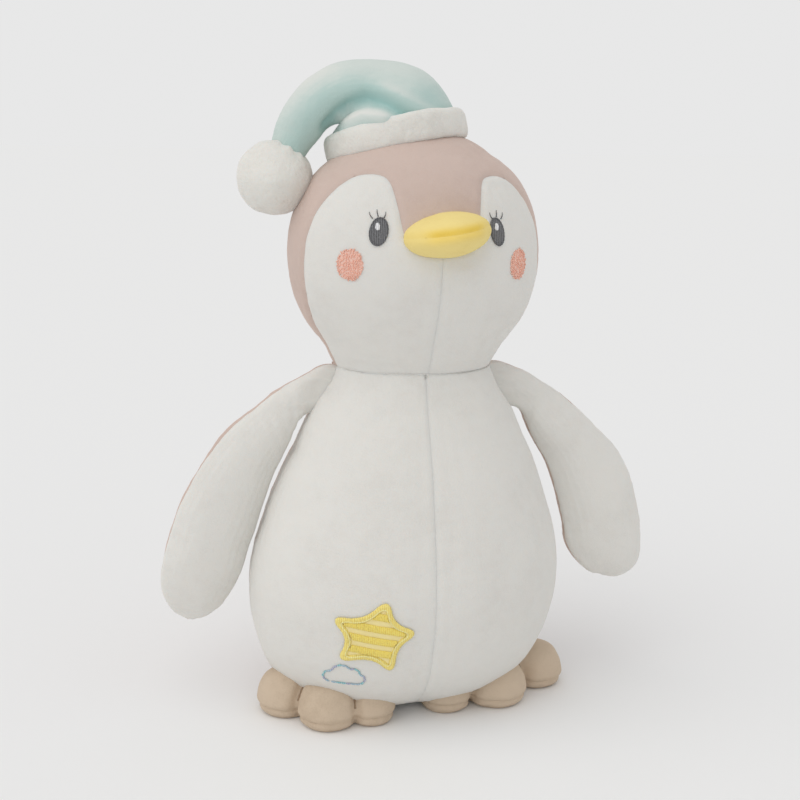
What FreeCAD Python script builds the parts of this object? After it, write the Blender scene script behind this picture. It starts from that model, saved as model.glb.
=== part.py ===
import FreeCAD, Part
import os
import math

# Plush penguin with a floppy night-cap.  Millimetres, +Z up, front faces -Y,
# origin on the floor under the middle of the base panel.

# ---------------------------------------------------------------- driving dimensions
FABRIC = 1.5            # thickness of velour panels with their seam allowance
FOOT_FABRIC = 1.3
HAT_FABRIC = 1.2
GAP = 0.5               # clearance between pieces that move against each other
FILL_GAP = 0.05         # between a panel and the stuffing behind it
THREAD = 0.7            # how far embroidery stands out of the fabric
HEAD_X = 2.5            # the head leans this far to the penguin's left
NECK_PIVOT = (2.5, 0.0, 176.0)
NECK_BOWL_R = 43.6      # the head's underside is a bowl of this radius about the pivot
SIDE_SEAM_Y = 8.0       # side seams of torso and head

# height, half width (x), half depth (y)
TORSO = [(0, 31, 21), (3, 40, 27), (8, 48, 33.5), (15, 54.5, 39.5), (23, 59, 44.5), (34, 63, 49), (45, 65.3, 52),
         (56, 66, 54), (70, 64.5, 53.5), (85, 60.5, 51), (100, 55, 47), (115, 48.5, 42), (130, 41, 36),
         (140, 35.5, 32), (147, 32.5, 29.5)]
HEAD = [(130, 14, 12), (134, 20, 18), (140, 27, 24.5), (146, 32, 28.5), (155, 36.8, 33), (165, 43.3, 38.5),
        (175, 48.2, 43), (186, 50.8, 46), (196, 51.2, 46.5), (206, 49.8, 45), (216, 46, 41.5), (226, 39, 35.5),
        (234, 30, 27), (240, 20, 18), (244, 6, 5.5)]
BASE_PANEL_TOP = 5.0
BASE_BACK = 8.5         # the base's middle lies this far behind the torso's axis

# half of the white face patch: angle round the head from straight ahead, height
FACE = [(15.5, 201), (17.2, 205), (19.2, 212), (22.5, 219), (25.5, 222.7), (29.5, 224.7), (36, 225.4), (42, 225.2),
        (49, 223.8), (55.5, 220.5), (62, 213.8), (66, 205.8), (69, 197.5), (70, 188), (71.5, 177), (75, 167.5),
        (80, 156), (84, 146), (86, 136)]
PEAK_Z = 197.0          # where the hood's peak ends, under the beak

# hat sections: centre, direction, radius in the swing plane, radius front to back
HAT = [((-4.5, 5.5, 234), (-0.20, 0.15, 0.968), 25.5, 24.5),
       ((-7.5, 5.5, 247), (-0.28, 0.08, 0.957), 25.0, 23.5),
       ((-11.5, 5.3, 254.5), (-0.55, 0.03, 0.83), 20.0, 19.5),
       ((-19, 5, 256.5), (-0.88, 0, 0.47), 14.5, 15.0),
       ((-27, 4.6, 255.8), (-0.96, 0, -0.12), 12.2, 12.4),
       ((-31.5, 4.4, 254.0), (-0.90, 0, -0.40), 11.3, 11.3)]
TAIL_PIVOT = (-31.5, 4.4, 254.0)
TAIL_BALL_R = 10.9
TAIL = [((-31.5, 4.4, 254.0), (-0.90, 0, -0.40), 10.6, 10.6),
        ((-37, 4, 250.5), (-0.78, 0, -0.62), 9.8, 9.8),
        ((-43.5, 4, 243), (-0.6, 0, -0.8), 8.3, 8.3),
        ((-48.3, 4, 235.5), (-0.45, 0, -0.89), 7.1, 7.1),
        ((-50.6, 4, 231.0), (-0.42, 0, -0.9), 6.6, 6.6)]
POM_PIVOT = (-50.6, 4.0, 231.0)
POM_C = (-55.0, 3.0, 223.0)
POM_R = (15.4, 15.6, 14.6)
BRIM_C = (-4.5, 5.5, 239.4)
BRIM_N = (-0.20, 0.15, 0.968)
# along the brim's axis, outer radius
BRIM = [(-5.6, 27.0), (-4.2, 28.6), (-1.5, 29.6), (1.5, 29.6), (4.2, 28.6), (5.6, 27.0)]
BRIM_DEPTH_K = 0.93

# flipper stations: outer edge x z, inner edge x z, half thickness
FLIP_R = [((-34.5, 147.5), (-42.5, 126.0), 3.4), ((-48, 141.0), (-46.0, 121.0), 5.0), ((-62, 131.5), (-50.8, 110.5), 6.6),
          ((-76.3, 119), (-57, 97), 7.6), ((-88.5, 103), (-62.2, 81), 8.2), ((-97.4, 84.3), (-66.2, 69), 8.2),
          ((-102.6, 65), (-69.8, 57.5), 7.4), ((-102.5, 52), (-75.5, 47.5), 5.6), ((-97.5, 42.8), (-84, 40.4), 3.0),
          ((-93.5, 40.0), (-89.5, 39.5), 1.0)]
FLIP_L = [((39.5, 147.5), (47.8, 127.0), 3.4), ((53, 142), (52.0, 123), 5.0), ((68, 132.5), (57.6, 111.5), 6.6),
          ((84, 119), (64.2, 99.5), 7.6), ((97, 105.4), (69.6, 84.5), 8.2), ((106.4, 86.5), (72.6, 73), 8.2),
          ((110.8, 67.5), (75, 62.5), 7.4), ((109.8, 55), (83.5, 51.8), 5.6), ((104.5, 48.4), (92, 47.5), 3.0),
          ((100.5, 47.0), (97, 46.8), 1.0)]
SEAM_R = ((-31.0, 0, 144.2), (-38.6, 0, 127.0))     # line along which the flipper is sewn in
SEAM_L = ((36.0, 0, 144.2), (43.6, 0, 127.0))
ROOT_R = 2.2
RAISE_R = (-33.2, 0, 146.0)
RAISE_L = (38.2, 0, 146.0)

# toes: x, y, radius; and the heel; then the flex pivot and the toes' heading
FOOT_R = {"toes": [(-18.5, -26, 10.0), (-36.5, -25, 12.8), (-52, -9.5, 11.6)], "heel": (-37, -8, 13.5), "dir": (-0.5, -0.87)}
FOOT_L = {"toes": [(16.5, -19.0, 10.8), (40, -16.5, 13.6), (62.5, -1.5, 12.4)], "heel": (41, 3, 14.0), "dir": (0.42, -0.9)}
FOOT_H = 15.0
SOLE_Z = 4.0
FLEX_R = (-31.0, -1.0, 6.0)
FLEX_L = (33.0, 5.0, 6.0)

V = FreeCAD.Vector


def unit(v):
    v = V(*v)
    v.normalize()
    return v


def ring(c, ex, ey, a, b, n=4):
    """closed oval of four Bezier quarters; ex, ey are its axes, a and b its half sizes"""
    k = 0.5522847
    edges = []
    for i in range(4):
        t0, t1 = math.radians(45 + 90 * i), math.radians(135 + 90 * i)
        u = [(math.cos(t0), math.sin(t0)), (math.cos(t0) - k * math.sin(t0), math.sin(t0) + k * math.cos(t0)),
             (math.cos(t1) + k * math.sin(t1), math.sin(t1) - k * math.cos(t1)), (math.cos(t1), math.sin(t1))]
        z = Part.BezierCurve()
        z.setPoles([c + ex * (a * p[0]) + ey * (b * p[1]) for p in u])
        edges.append(z.toShape())
    return Part.Wire(edges)


def loft(wires, ruled=False):
    s = Part.makeLoft(wires, True, ruled, False)
    if s.ShapeType != "Solid":
        s = s.Solids[0]
    if s.Volume < 0:
        s.reverse()
    return s


def lean(z):
    """the torso's middle: it leans to the left as it rises, and its base sits back of the belly"""
    k = min(max(1.0 - z / 34.0, 0.0), 1.0)
    return (-1.5 + 4.0 * min(max(z / 110.0, 0.0), 1.0), BASE_BACK * k * k)


def egg(rows, centre, grow=0.0, z0=None, z1=None):
    zs = [r[0] for r in rows]
    lo, hi = zs[0], zs[-1]
    w = []
    for i, (z, a, b) in enumerate(rows):
        zz = z
        if i == 0:
            zz = z - grow if grow < 0 else z - grow
        if i == len(rows) - 1:
            zz = z + grow
        c = centre(z)
        cx, cy = c if isinstance(c, tuple) else (c, 0.0)
        w.append(ring(V(cx, cy, zz), V(1, 0, 0), V(0, 1, 0), max(a + grow, 0.8), max(b + grow, 0.8)))
    return loft(w)


def path_loft(rows, grow=0.0, cap=0.0):
    w = []
    for i, (c, d, ra, rb) in enumerate(rows):
        dd = unit(d)
        ey = V(0, 1, 0)
        ey = ey - dd * ey.dot(dd)
        ey.normalize()
        ex = ey.cross(dd)
        cc = V(*c)
        if i == 0:
            cc = cc - dd * cap
        if i == len(rows) - 1:
            cc = cc + dd * cap
        w.append(ring(cc, ex, ey, ra + grow, rb + grow))
    return loft(w)


def rod(p, q, r):
    a, b = V(*p), V(*q)
    return Part.makeCylinder(r, (b - a).Length, a, b - a)


def stack(wires):
    """closed solid through oval sections, one ruled patch per quarter, capped flat"""
    faces = []
    for w0, w1 in zip(wires[:-1], wires[1:]):
        for e0, e1 in zip(w0.OrderedEdges, w1.OrderedEdges):
            faces.append(Part.makeRuledSurface(e0, e1))
    faces.append(Part.Face(wires[0]))
    faces.append(Part.Face(wires[-1]))
    sh = Part.makeShell(faces)
    sh.sewShape()
    s = Part.makeSolid(sh if sh.ShapeType == "Shell" else sh.Shells[0])
    if s.Volume < 0:
        s.reverse()
    return s


def big(s):
    """largest solid of a boolean's result"""
    return max(s.Solids, key=lambda q: q.Volume)


def solids(s, least=1.0):
    got = [q for q in s.Solids if q.Volume > least]
    return got[0] if len(got) == 1 else Part.makeCompound(got)


def box(x0, x1, y0, y1, z0, z1):
    return Part.makeBox(x1 - x0, y1 - y0, z1 - z0, V(x0, y0, z0))


def prism_xz(pts, y0, y1):
    p = [V(x, y0, z) for x, z in pts]
    f = Part.Face(Part.makePolygon(p + [p[0]]))
    return f.extrude(V(0, y1 - y0, 0))


def turned(s, pivot, axis, deg):
    q = s.copy()
    q.rotate(V(*pivot), V(*axis), deg)
    return q


def carve(s, obstacle, pivot, axis, angles):
    """take away from s what the obstacle would touch while s turns through the angles"""
    for a in angles:
        if s.isNull() or not s.Solids:
            return s
        s = s.cut(turned(obstacle, pivot, axis, -a))
    return s


def interp(rows, z, k):
    for i in range(len(rows) - 1):
        if rows[i][0] <= z <= rows[i + 1][0]:
            t = (z - rows[i][0]) / float(rows[i + 1][0] - rows[i][0])
            return rows[i][k] * (1 - t) + rows[i + 1][k] * t
    return rows[-1][k] if z > rows[-1][0] else rows[0][k]


NODES = {}

# ---------------------------------------------------------------- torso
head_c = lambda z: HEAD_X
torso_outer = egg(TORSO, lean)
torso_inner = egg([(r[0] if 0 < i < len(TORSO) - 1 else r[0] + (FABRIC if i == 0 else 0), r[1] - FABRIC, r[2] - FABRIC)
                   for i, r in enumerate(TORSO)], lean)
torso_clear = egg([(r[0], r[1] + GAP, r[2] + GAP) for r in TORSO], lean)
torso_thread = egg([(r[0], r[1] + THREAD, r[2] + THREAD) for r in TORSO], lean)
pivot = V(*NECK_PIVOT)
bowl_clear = Part.makeSphere(NECK_BOWL_R + GAP, pivot)
bowl_fill = Part.makeSphere(NECK_BOWL_R + GAP + FABRIC, pivot)


cut_grooves = [bowl_clear, rod((SEAM_R[0][0] + 1.5, 0, SEAM_R[0][2] + 3.4), (SEAM_R[1][0] - 1.2, 0, SEAM_R[1][2] - 2.8), ROOT_R + GAP),
               rod((SEAM_L[0][0] - 1.5, 0, SEAM_L[0][2] + 3.4), (SEAM_L[1][0] + 1.2, 0, SEAM_L[1][2] - 2.8), ROOT_R + GAP)]
shell = torso_outer.cut(torso_inner)
for g in cut_grooves:
    shell = shell.cut(g)
# neck collar: the rim of the torso panels folded in round the head's bowl
collar = torso_inner.common(bowl_fill.cut(bowl_clear)).common(box(-60, 60, -60, 60, 128, 150))
for sx in (SEAM_R, SEAM_L):
    k = 1 if sx is SEAM_R else -1
    collar = collar.cut(rod((sx[0][0] + 1.5 * k, 0, sx[0][2] + 3.4), (sx[1][0] - 1.2 * k, 0, sx[1][2] - 2.8), ROOT_R + GAP + 0.3))
BIG = 300
NODES["body_base_panel"] = solids(shell.common(box(-BIG, BIG, -BIG, BIG, -5, BASE_PANEL_TOP)))
NODES["body_front_right"] = solids(shell.common(box(-BIG, 1.2, -BIG, SIDE_SEAM_Y, BASE_PANEL_TOP, 160)))
NODES["body_front_left"] = solids(shell.common(box(1.2, BIG, -BIG, SIDE_SEAM_Y, BASE_PANEL_TOP, 160)))
NODES["body_back_panel"] = solids(shell.common(box(-BIG, BIG, SIDE_SEAM_Y, BIG, BASE_PANEL_TOP, 160)))
inner = egg([(r[0] if 0 < i < len(TORSO) - 1 else r[0] + (FABRIC + FILL_GAP if i == 0 else 0), r[1] - FABRIC - FILL_GAP,
              r[2] - FABRIC - FILL_GAP) for i, r in enumerate(TORSO)], lean)
for g in [bowl_fill] + cut_grooves[1:]:
    inner = inner.cut(g)
inner = big(inner)
# weighted pouch in the base
POUCH = [(4, 24, 15), (6, 30, 19), (11, 33, 22), (17, 30, 20), (20, 22, 13)]
pouch_o = egg(POUCH, lambda z: (-0.8, 5.0))
pouch_i = egg([(z + (0.8 if i == 0 else -0.8 if i == 4 else 0), a - 0.8, b - 0.8) for i, (z, a, b) in enumerate(POUCH)], lambda z: (-0.8, 5.0))
pouch_f = egg([(z + (0.9 if i == 0 else -0.9 if i == 4 else 0), a - 0.85, b - 0.85) for i, (z, a, b) in enumerate(POUCH)], lambda z: (-0.8, 5.0))
pouch_clear = egg([(z + (-0.1 if i == 0 else 0.1 if i == 4 else 0), a + 0.1, b + 0.1) for i, (z, a, b) in enumerate(POUCH)], lambda z: (-0.8, 5.0))
NODES["body_filling"] = big(inner.cut(pouch_clear))
NODES["pellet_pouch"] = pouch_o.cut(pouch_i)
NODES["pouch_pellets"] = pouch_f
NODES["neck_collar"] = solids(collar)

# star applique, its border, its stripes; cloud embroidery
STAR_C = (-22.6, 46.5)
STAR_TIPS = [(-18.3, 61.0), (-7.2, 48.6), (-15.0, 30.6), (-33.4, 34.6), (-37.2, 53.6)]
STAR_NOTCH = [(-14.6, 53.8), (-12.6, 41.6), (-23.2, 36.2), (-33.8, 44.9), (-28.2, 55.4)]


def star(k_tip, k_notch):
    pts = []
    for t, n in zip(STAR_TIPS, STAR_NOTCH):
        pts.append((STAR_C[0] + (t[0] - STAR_C[0]) * k_tip, STAR_C[1] + (t[1] - STAR_C[1]) * k_tip))
        pts.append((STAR_C[0] + (n[0] - STAR_C[0]) * k_notch, STAR_C[1] + (n[1] - STAR_C[1]) * k_notch))
    return prism_xz(pts, -70, -20)


front_skin = torso_thread.cut(torso_outer)
front_skin2 = egg([(r[0], r[1] + 2 * THREAD, r[2] + 2 * THREAD) for r in TORSO], lean).cut(torso_outer)
NODES["star_applique"] = solids(front_skin.common(star(0.80, 0.72)))
NODES["star_satin_border"] = solids(front_skin2.common(star(1.0, 1.0)).cut(star(0.80, 0.72)))
stripes = []
star_in = star(0.72, 0.62)
for k in range(5):
    z0 = 34.5 + 4.9 * k
    stripes.append(prism_xz([(-42, z0 + 4.2), (-4, z0 - 3.8), (-4, z0 - 2.0), (-42, z0 + 6.0)], -70, -20))
stripe_skin = egg([(r[0], r[1] + 1.6 * THREAD, r[2] + 1.6 * THREAD) for r in TORSO], lean).cut(torso_thread)
sp = stripe_skin.common(star_in)
NODES["star_stripes"] = Part.makeCompound([q for s in stripes for q in sp.common(s).Solids if q.Volume > 0.5])
cloud_pts = [(-37.6, 22.3), (-39.8, 23.2), (-40.8, 25.4), (-39.9, 27.6), (-37.6, 28.5), (-36.4, 30.6), (-34.2, 31.9),
             (-31.5, 31.8), (-29.4, 30.3), (-27.4, 30.6), (-25.6, 29.6), (-24.9, 27.8), (-23.0, 26.9), (-22.3, 24.9),
             (-23.3, 22.9), (-25.2, 22.3)]


def shrink(pts, c, k):
    return [(c[0] + (x - c[0]) * k, c[1] + (z - c[1]) * k) for x, z in pts]


cc = (-31.5, 26.6)
NODES["cloud_embroidery"] = solids(front_skin.common(prism_xz(cloud_pts, -70, -15)).cut(prism_xz(shrink(cloud_pts, cc, 0.78), -70, -15)), 0.2)

# ---------------------------------------------------------------- head
head_raw = egg(HEAD, head_c)
keep = Part.makeSphere(NECK_BOWL_R, pivot).fuse(box(-80, 80, -80, 80, 158, 260))
head_outer = big(head_raw.common(keep))
hin = [(r[0] + (FABRIC if i == 0 else -FABRIC if i == len(HEAD) - 1 else 0), max(r[1] - FABRIC, 1), max(r[2] - FABRIC, 1)) for i, r in enumerate(HEAD)]
keep_in = Part.makeSphere(NECK_BOWL_R - FABRIC, pivot).fuse(box(-80, 80, -80, 80, 158, 260))
head_inner = big(egg(hin, head_c).common(keep_in))
hfi = [(r[0] + (FABRIC + .1 if i == 0 else -FABRIC - .1 if i == len(HEAD) - 1 else 0), max(r[1] - FABRIC - FILL_GAP, .9),
        max(r[2] - FABRIC - FILL_GAP, .9)) for i, r in enumerate(HEAD)]
head_fill = big(egg(hfi, head_c).common(Part.makeSphere(NECK_BOWL_R - FABRIC - 0.1, pivot).fuse(box(-80, 80, -80, 80, 158, 260))))
head_shell = head_outer.cut(head_inner)
# stitched neck plug: turns with the head on the torso, the head nods on it
PLUG_R = 9.0
plug_c = V(NECK_PIVOT[0], NECK_PIVOT[1], NECK_PIVOT[2])
head_fill = big(head_fill.cut(Part.makeSphere(PLUG_R + GAP, plug_c)))
NODES["head_filling"] = head_fill
NODES["neck_plug"] = Part.makeSphere(PLUG_R, plug_c)


def face_poly(side):
    pts = [(HEAD_X, 120), (HEAD_X, PEAK_Z)]
    for phi, z in FACE:
        a = interp(HEAD, z, 1)
        pts.append((HEAD_X + side * a * math.sin(math.radians(phi)), z))
    pts.append((HEAD_X + side * 40, 120))
    return pts


face_r = prism_xz(face_poly(-1), -80, 0)
face_l = prism_xz(face_poly(1), -80, 0)
NODES["face_panel_right"] = solids(head_shell.common(face_r))
NODES["face_panel_left"] = solids(head_shell.common(face_l))
hood = head_shell.cut(face_r).cut(face_l)
NODES["hood_front_panel"] = solids(hood.common(box(-BIG, BIG, -BIG, SIDE_SEAM_Y, 100, 260)))
NODES["head_back_right"] = solids(hood.common(box(-BIG, HEAD_X, SIDE_SEAM_Y, BIG, 100, 260)))
NODES["head_back_left"] = solids(hood.common(box(HEAD_X, BIG, SIDE_SEAM_Y, BIG, 100, 260)))

skin1 = egg([(r[0], r[1] + THREAD, r[2] + THREAD) for r in HEAD], head_c).cut(head_raw)
skin2 = egg([(r[0], r[1] + 1.7 * THREAD, r[2] + 1.7 * THREAD) for r in HEAD], head_c).cut(egg([(r[0], r[1] + THREAD, r[2] + THREAD) for r in HEAD], head_c))


def oval(cx_, cz_, a, b, tilt, n=20):
    t0 = math.radians(tilt)
    return [(cx_ + a * math.cos(t) * math.cos(t0) - b * math.sin(t) * math.sin(t0),
             cz_ + a * math.cos(t) * math.sin(t0) + b * math.sin(t) * math.cos(t0)) for t in [2 * math.pi * i / n for i in range(n)]]


def quad(x0, z0, x1, z1, w):
    dx, dz = x1 - x0, z1 - z0
    L = math.hypot(dx, dz)
    nx, nz = -dz / L * w / 2, dx / L * w / 2
    return [(x0 + nx, z0 + nz), (x1 + nx, z1 + nz), (x1 - nx, z1 - nz), (x0 - nx, z0 - nz)]


for side, name in ((-1, "right"), (1, "left")):
    ex_ = HEAD_X + side * 23.6
    NODES["eye_" + name] = solids(skin1.common(prism_xz(oval(ex_, 204.4, 3.6, 5.7, side * 10), -80, -10)))
    NODES["eye_glint_" + name] = solids(skin2.common(prism_xz(oval(ex_ + (0.6 if side < 0 else -0.6), 206.6, 0.95, 1.25, 0, 10), -80, -10)), 0.05)
    la = []
    for dx, dz, ux, uz in ((2.3, 5.6, 3.3, 8.4), (0.2, 6.5, 0.4, 9.4), (-2.0, 5.8, -2.6, 8.6)):
        la += skin1.common(prism_xz(quad(ex_ + side * dx, 204.4 + dz, ex_ + side * ux, 204.4 + uz, 0.8), -80, -10)).Solids
    NODES["lashes_" + name] = Part.makeCompound(la)
    NODES["cheek_" + name] = solids(skin1.common(prism_xz(oval(HEAD_X + side * 33.6, 191.8, 5.0, 6.6, 0), -80, -8)))

# beak: two halves sewn along the side edge, on the face
BEAK_X, BEAK_Z = 4.6, 203.8
BEAK = [(-36, 16.8, 8.2), (-46, 16.8, 8.6), (-51.5, 14.8, 7.9), (-56.5, 11.0, 6.3), (-60, 6.8, 4.2), (-61.8, 2.5, 1.7)]


def beak_loft(g, cap):
    w = []
    for i, (y, a, b) in enumerate(BEAK):
        yy = y + (cap if i == len(BEAK) - 1 else 0)
        w.append(ring(V(BEAK_X, yy, BEAK_Z), V(math.cos(0.07), 0, math.sin(0.07)), V(-math.sin(0.07), 0, math.cos(0.07)), max(a - g, 0.6), max(b - g, 0.5)))
    return loft(w)


beak_o = big(beak_loft(0, 0).cut(head_raw).common(box(-BIG, BIG, -BIG, -30, 100, 300)))
beak_i = big(beak_loft(1.2, 1.2).cut(head_raw).common(box(-BIG, BIG, -BIG, -30, 100, 300)))
beak_f = big(beak_loft(1.25, 1.3).cut(head_raw).common(box(-BIG, BIG, -BIG, -30, 100, 300)))
beak_shell = beak_o.cut(beak_i)
NODES["beak_upper"] = solids(beak_shell.common(box(-BIG, BIG, -BIG, 0, BEAK_Z, 300)))
NODES["beak_lower"] = solids(beak_shell.common(box(-BIG, BIG, -BIG, 0, 100, BEAK_Z)))
NODES["beak_filling"] = beak_f

# ---------------------------------------------------------------- night-cap
n = unit(BRIM_N)
ey = V(0, 1, 0) - n * V(0, 1, 0).dot(n)
ey.normalize()
ex = ey.cross(n)
brim = loft([ring(V(*BRIM_C) + n * s, ex, ey, r, r * BRIM_DEPTH_K) for s, r in BRIM])
hat_o = path_loft(HAT)
hat_i = path_loft(HAT, -HAT_FABRIC, 1.5)
hat_f = path_loft(HAT, -HAT_FABRIC - FILL_GAP, 1.0)
td = unit(HAT[-1][1])
tail_cut_box = Part.makeBox(60, 60, 60, V(-30, -30, 0))
# half space beyond a plane 4.5 mm before the tail's pivot
pl = V(*TAIL_PIVOT) - td * 4.5
tail_cut_box.Placement = FreeCAD.Placement(pl, FreeCAD.Rotation(V(0, 0, 1), td)).multiply(tail_cut_box.Placement)
sock = Part.makeSphere(TAIL_BALL_R + GAP, V(*TAIL_PIVOT))
brim = big(brim.cut(hat_o).cut(head_raw))
NODES["hat_brim"] = brim
hat_out = big(hat_o.cut(head_raw).cut(tail_cut_box).cut(sock))
NODES["hat_cone"] = big(hat_out.cut(hat_i))
hat_fill = big(hat_f.cut(head_raw).cut(tail_cut_box).cut(sock))
NODES["hat_cone_filling"] = hat_fill
tail_o = path_loft(TAIL).fuse(Part.makeSphere(TAIL_BALL_R, V(*TAIL_PIVOT)))
tail_in_rows = [(c, d, a - HAT_FABRIC, b - HAT_FABRIC) for c, d, a, b in TAIL]
tail_i = path_loft(tail_in_rows, 0, -1.0).fuse(Part.makeSphere(TAIL_BALL_R - HAT_FABRIC, V(*TAIL_PIVOT)))
tail_f = path_loft([(c, d, a - 0.05, b - 0.05) for c, d, a, b in tail_in_rows], 0, -1.1).fuse(Part.makeSphere(TAIL_BALL_R - HAT_FABRIC - 0.05, V(*TAIL_PIVOT)))
NODES["hat_tail"] = big(tail_o.cut(tail_i))
NODES["hat_tail_filling"] = big(tail_f)

# pompom: round cover drawn in at the tail's end
def pom(k):
    rows = []
    for i in range(9):
        t = -1 + 2 * i / 8.0
        t = max(min(t, 0.985), -0.985)
        rows.append((POM_C[2] + k * POM_R[2] * t, k * POM_R[0] * math.sqrt(1 - t * t), k * POM_R[1] * math.sqrt(1 - t * t)))
    return loft([ring(V(POM_C[0], POM_C[1], z), V(1, 0, 0), V(0, 1, 0), a, b) for z, a, b in rows])


head_clear = egg([(r[0], r[1] + 0.9, r[2] + 0.9) for r in HEAD], head_c)
tail_clear = path_loft(TAIL, GAP + 0.1, GAP + 0.1).fuse(Part.makeSphere(TAIL[-1][2] + GAP + 0.1, V(*POM_PIVOT)))
pom_o, pom_i, pom_f = pom(1.0), pom(0.905), pom(0.90)
POM_AX = (1, 0, 0)


def pom_trim(s, extra=0.0):
    s = carve(s, tail_clear, POM_PIVOT, POM_AX, (-18, 0, 18))
    s = carve(s, head_clear, POM_PIVOT, POM_AX, (-18, 0, 18))
    return s


NODES["hat_pompom"] = big(pom_trim(pom_o.cut(pom_i)))
NODES["pompom_filling"] = big(pom_trim(pom_f))

# ---------------------------------------------------------------- flippers


def between(rows, steps=2):
    """stations halfway between the given ones, on a smooth curve through them"""
    flat = [(r[0][0], r[0][1], r[1][0], r[1][1], r[2]) for r in rows]
    out = []
    for i in range(len(flat) - 1):
        p0, p1, p2, p3 = flat[max(i - 1, 0)], flat[i], flat[i + 1], flat[min(i + 2, len(flat) - 1)]
        for k in range(steps):
            t = k / float(steps)
            q = [0.5 * (2 * b + (c - a) * t + (2 * a - 5 * b + 4 * c - d) * t * t + (3 * b - a - 3 * c + d) * t ** 3)
                 for a, b, c, d in zip(p0, p1, p2, p3)]
            out.append(((q[0], q[1]), (q[2], q[3]), q[4]))
    return out + [rows[-1]]


def flipper(rows, g=0.0, cap=0.0):
    w = []
    rows = between(rows)
    for i, (o, q, t) in enumerate(rows):
        o_, q_ = V(o[0], 0, o[1]), V(q[0], 0, q[1])
        c = (o_ + q_) * 0.5
        wd = (o_ - q_)
        a = wd.Length / 2.0
        wd.normalize()
        d = V(wd.z, 0, -wd.x)
        if i == 0:      # the inner body starts a panel's thickness in
            c = c + d * (cap if (V(rows[1][0][0], 0, rows[1][0][1]) - o_).dot(d) > 0 else -cap)
        w.append(ring(c, wd, V(0, 1, 0), max(a - g, 0.6), max(t - g, 0.35)))
    return stack(w)


for side, name, rows, seam, piv in ((-1, "right", FLIP_R, SEAM_R, RAISE_R), (1, "left", FLIP_L, SEAM_L, RAISE_L)):
    root = rod(seam[0], seam[1], ROOT_R)
    o = flipper(rows)
    i_ = flipper(rows[:-1], FABRIC, FABRIC)
    f = flipper(rows[:-1], FABRIC + FILL_GAP, FABRIC + 0.1)
    sh = o.cut(i_)
    NODES["flipper_%s_front" % name] = big(sh.common(box(-BIG, BIG, -BIG, 0, 0, 260)))
    NODES["flipper_%s_back" % name] = big(sh.common(box(-BIG, BIG, 0, BIG, 0, 260)))
    NODES["flipper_%s_filling" % name] = f
    NODES["flipper_%s_root" % name] = root

# ---------------------------------------------------------------- feet


def pebble(x, y, r, g=0.0, h=FOOT_H):
    rows = [(0, 0.80), (2.0, 0.93), (4.5, 1.0), (8.0, 0.96), (11.5, 0.78), (13.8, 0.50), (h, 0.15)]
    w = []
    for i, (z, k) in enumerate(rows):
        zz = z + (g if i == 0 else -g if i == len(rows) - 1 else 0)
        w.append(ring(V(x, y, zz), V(1, 0, 0), V(0, 1, 0), max(r * k - g, 0.5), max(r * k - g, 0.5)))
    return loft(w)


def foot(spec, g=0.0):
    s = None
    for t in spec["toes"] + [spec["heel"]]:
        p = pebble(t[0], t[1], t[2], g)
        s = p if s is None else s.fuse(p)
    return big(s)


torso_foot = egg([(r[0] - (1 if r[0] == 0 else 0), r[1] + 0.8, r[2] + 0.8) for r in TORSO if r[0] <= 34], lean)
for side, name, spec, piv in ((-1, "right", FOOT_R, FLEX_R), (1, "left", FOOT_L, FLEX_L)):
    d = unit((spec["dir"][0], spec["dir"][1], 0))
    ax = V(0, 0, 1).cross(d)      # positive turns the toes down
    axt = (ax.x, ax.y, ax.z)
    fo, fi, ff = foot(spec), foot(spec, FOOT_FABRIC), foot(spec, FOOT_FABRIC + FILL_GAP)
    angs = (-4, 0, 20)

    def ftrim(s):
        return carve(s, torso_foot, piv, axt, angs)

    sh = ftrim(fo.cut(fi))
    NODES["foot_%s_upper" % name] = big(sh.common(box(-BIG, BIG, -BIG, BIG, SOLE_Z, 40)))
    NODES["foot_%s_sole" % name] = big(sh.common(box(-BIG, BIG, -BIG, BIG, -2, SOLE_Z)))
    NODES["foot_%s_filling" % name] = big(ftrim(ff))
    infl = None
    for t in spec["toes"] + [spec["heel"]]:
        p = pebble(t[0], t[1], t[2] + THREAD, 0, FOOT_H + THREAD)
        infl = p if infl is None else infl.fuse(p)
    rim = infl.cut(fo)
    st = []
    tt = spec["toes"]
    for a_, b_ in ((tt[0], tt[1]), (tt[1], tt[2])):
        mx = (a_[0] * b_[2] + b_[0] * a_[2]) / (a_[2] + b_[2])
        my = (a_[1] * b_[2] + b_[1] * a_[2]) / (a_[2] + b_[2])
        u = unit((b_[0] - a_[0], b_[1] - a_[1], 0))
        w_ = V(-u.y, u.x, 0)
        if w_.y > 0:
            w_ = w_ * -1
        slab = Part.makeBox(1.1, 13, 14)
        slab.Placement = FreeCAD.Placement(V(mx, my, 3.0) - u * 0.55, FreeCAD.Rotation(u, w_, V(0, 0, 1), "ZXY"))
        piece = rim.common(slab)
        if piece.isNull() or not piece.Solids:
            continue
        piece = big(piece).cut(torso_foot).cut(turned(torso_foot, piv, axt, 4))
        st += [q for q in piece.Solids if q.Volume > 0.3]
    if st:
        NODES["foot_%s_toe_stitching" % name] = Part.makeCompound(st)

os.makedirs("parts", exist_ok=True)
for f in os.listdir("parts"):
    if f.endswith(".step") and f[:-5] not in NODES:
        os.remove(os.path.join("parts", f))
for name, s in sorted(NODES.items()):
    s.exportStep("parts/%s.step" % name)
    bb = s.BoundBox
    print("%-28s solids %d valid %s vol %9.1f  x %.1f..%.1f y %.1f..%.1f z %.1f..%.1f" % (
        name, len(s.Solids), s.isValid(), s.Volume, bb.XMin, bb.XMax, bb.YMin, bb.YMax, bb.ZMin, bb.ZMax))
print(len(NODES), "nodes")
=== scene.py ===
import bpy
import bmesh
import math
import numpy as np
from mathutils import Matrix, Vector, kdtree
from mathutils.bvhtree import BVHTree


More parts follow.
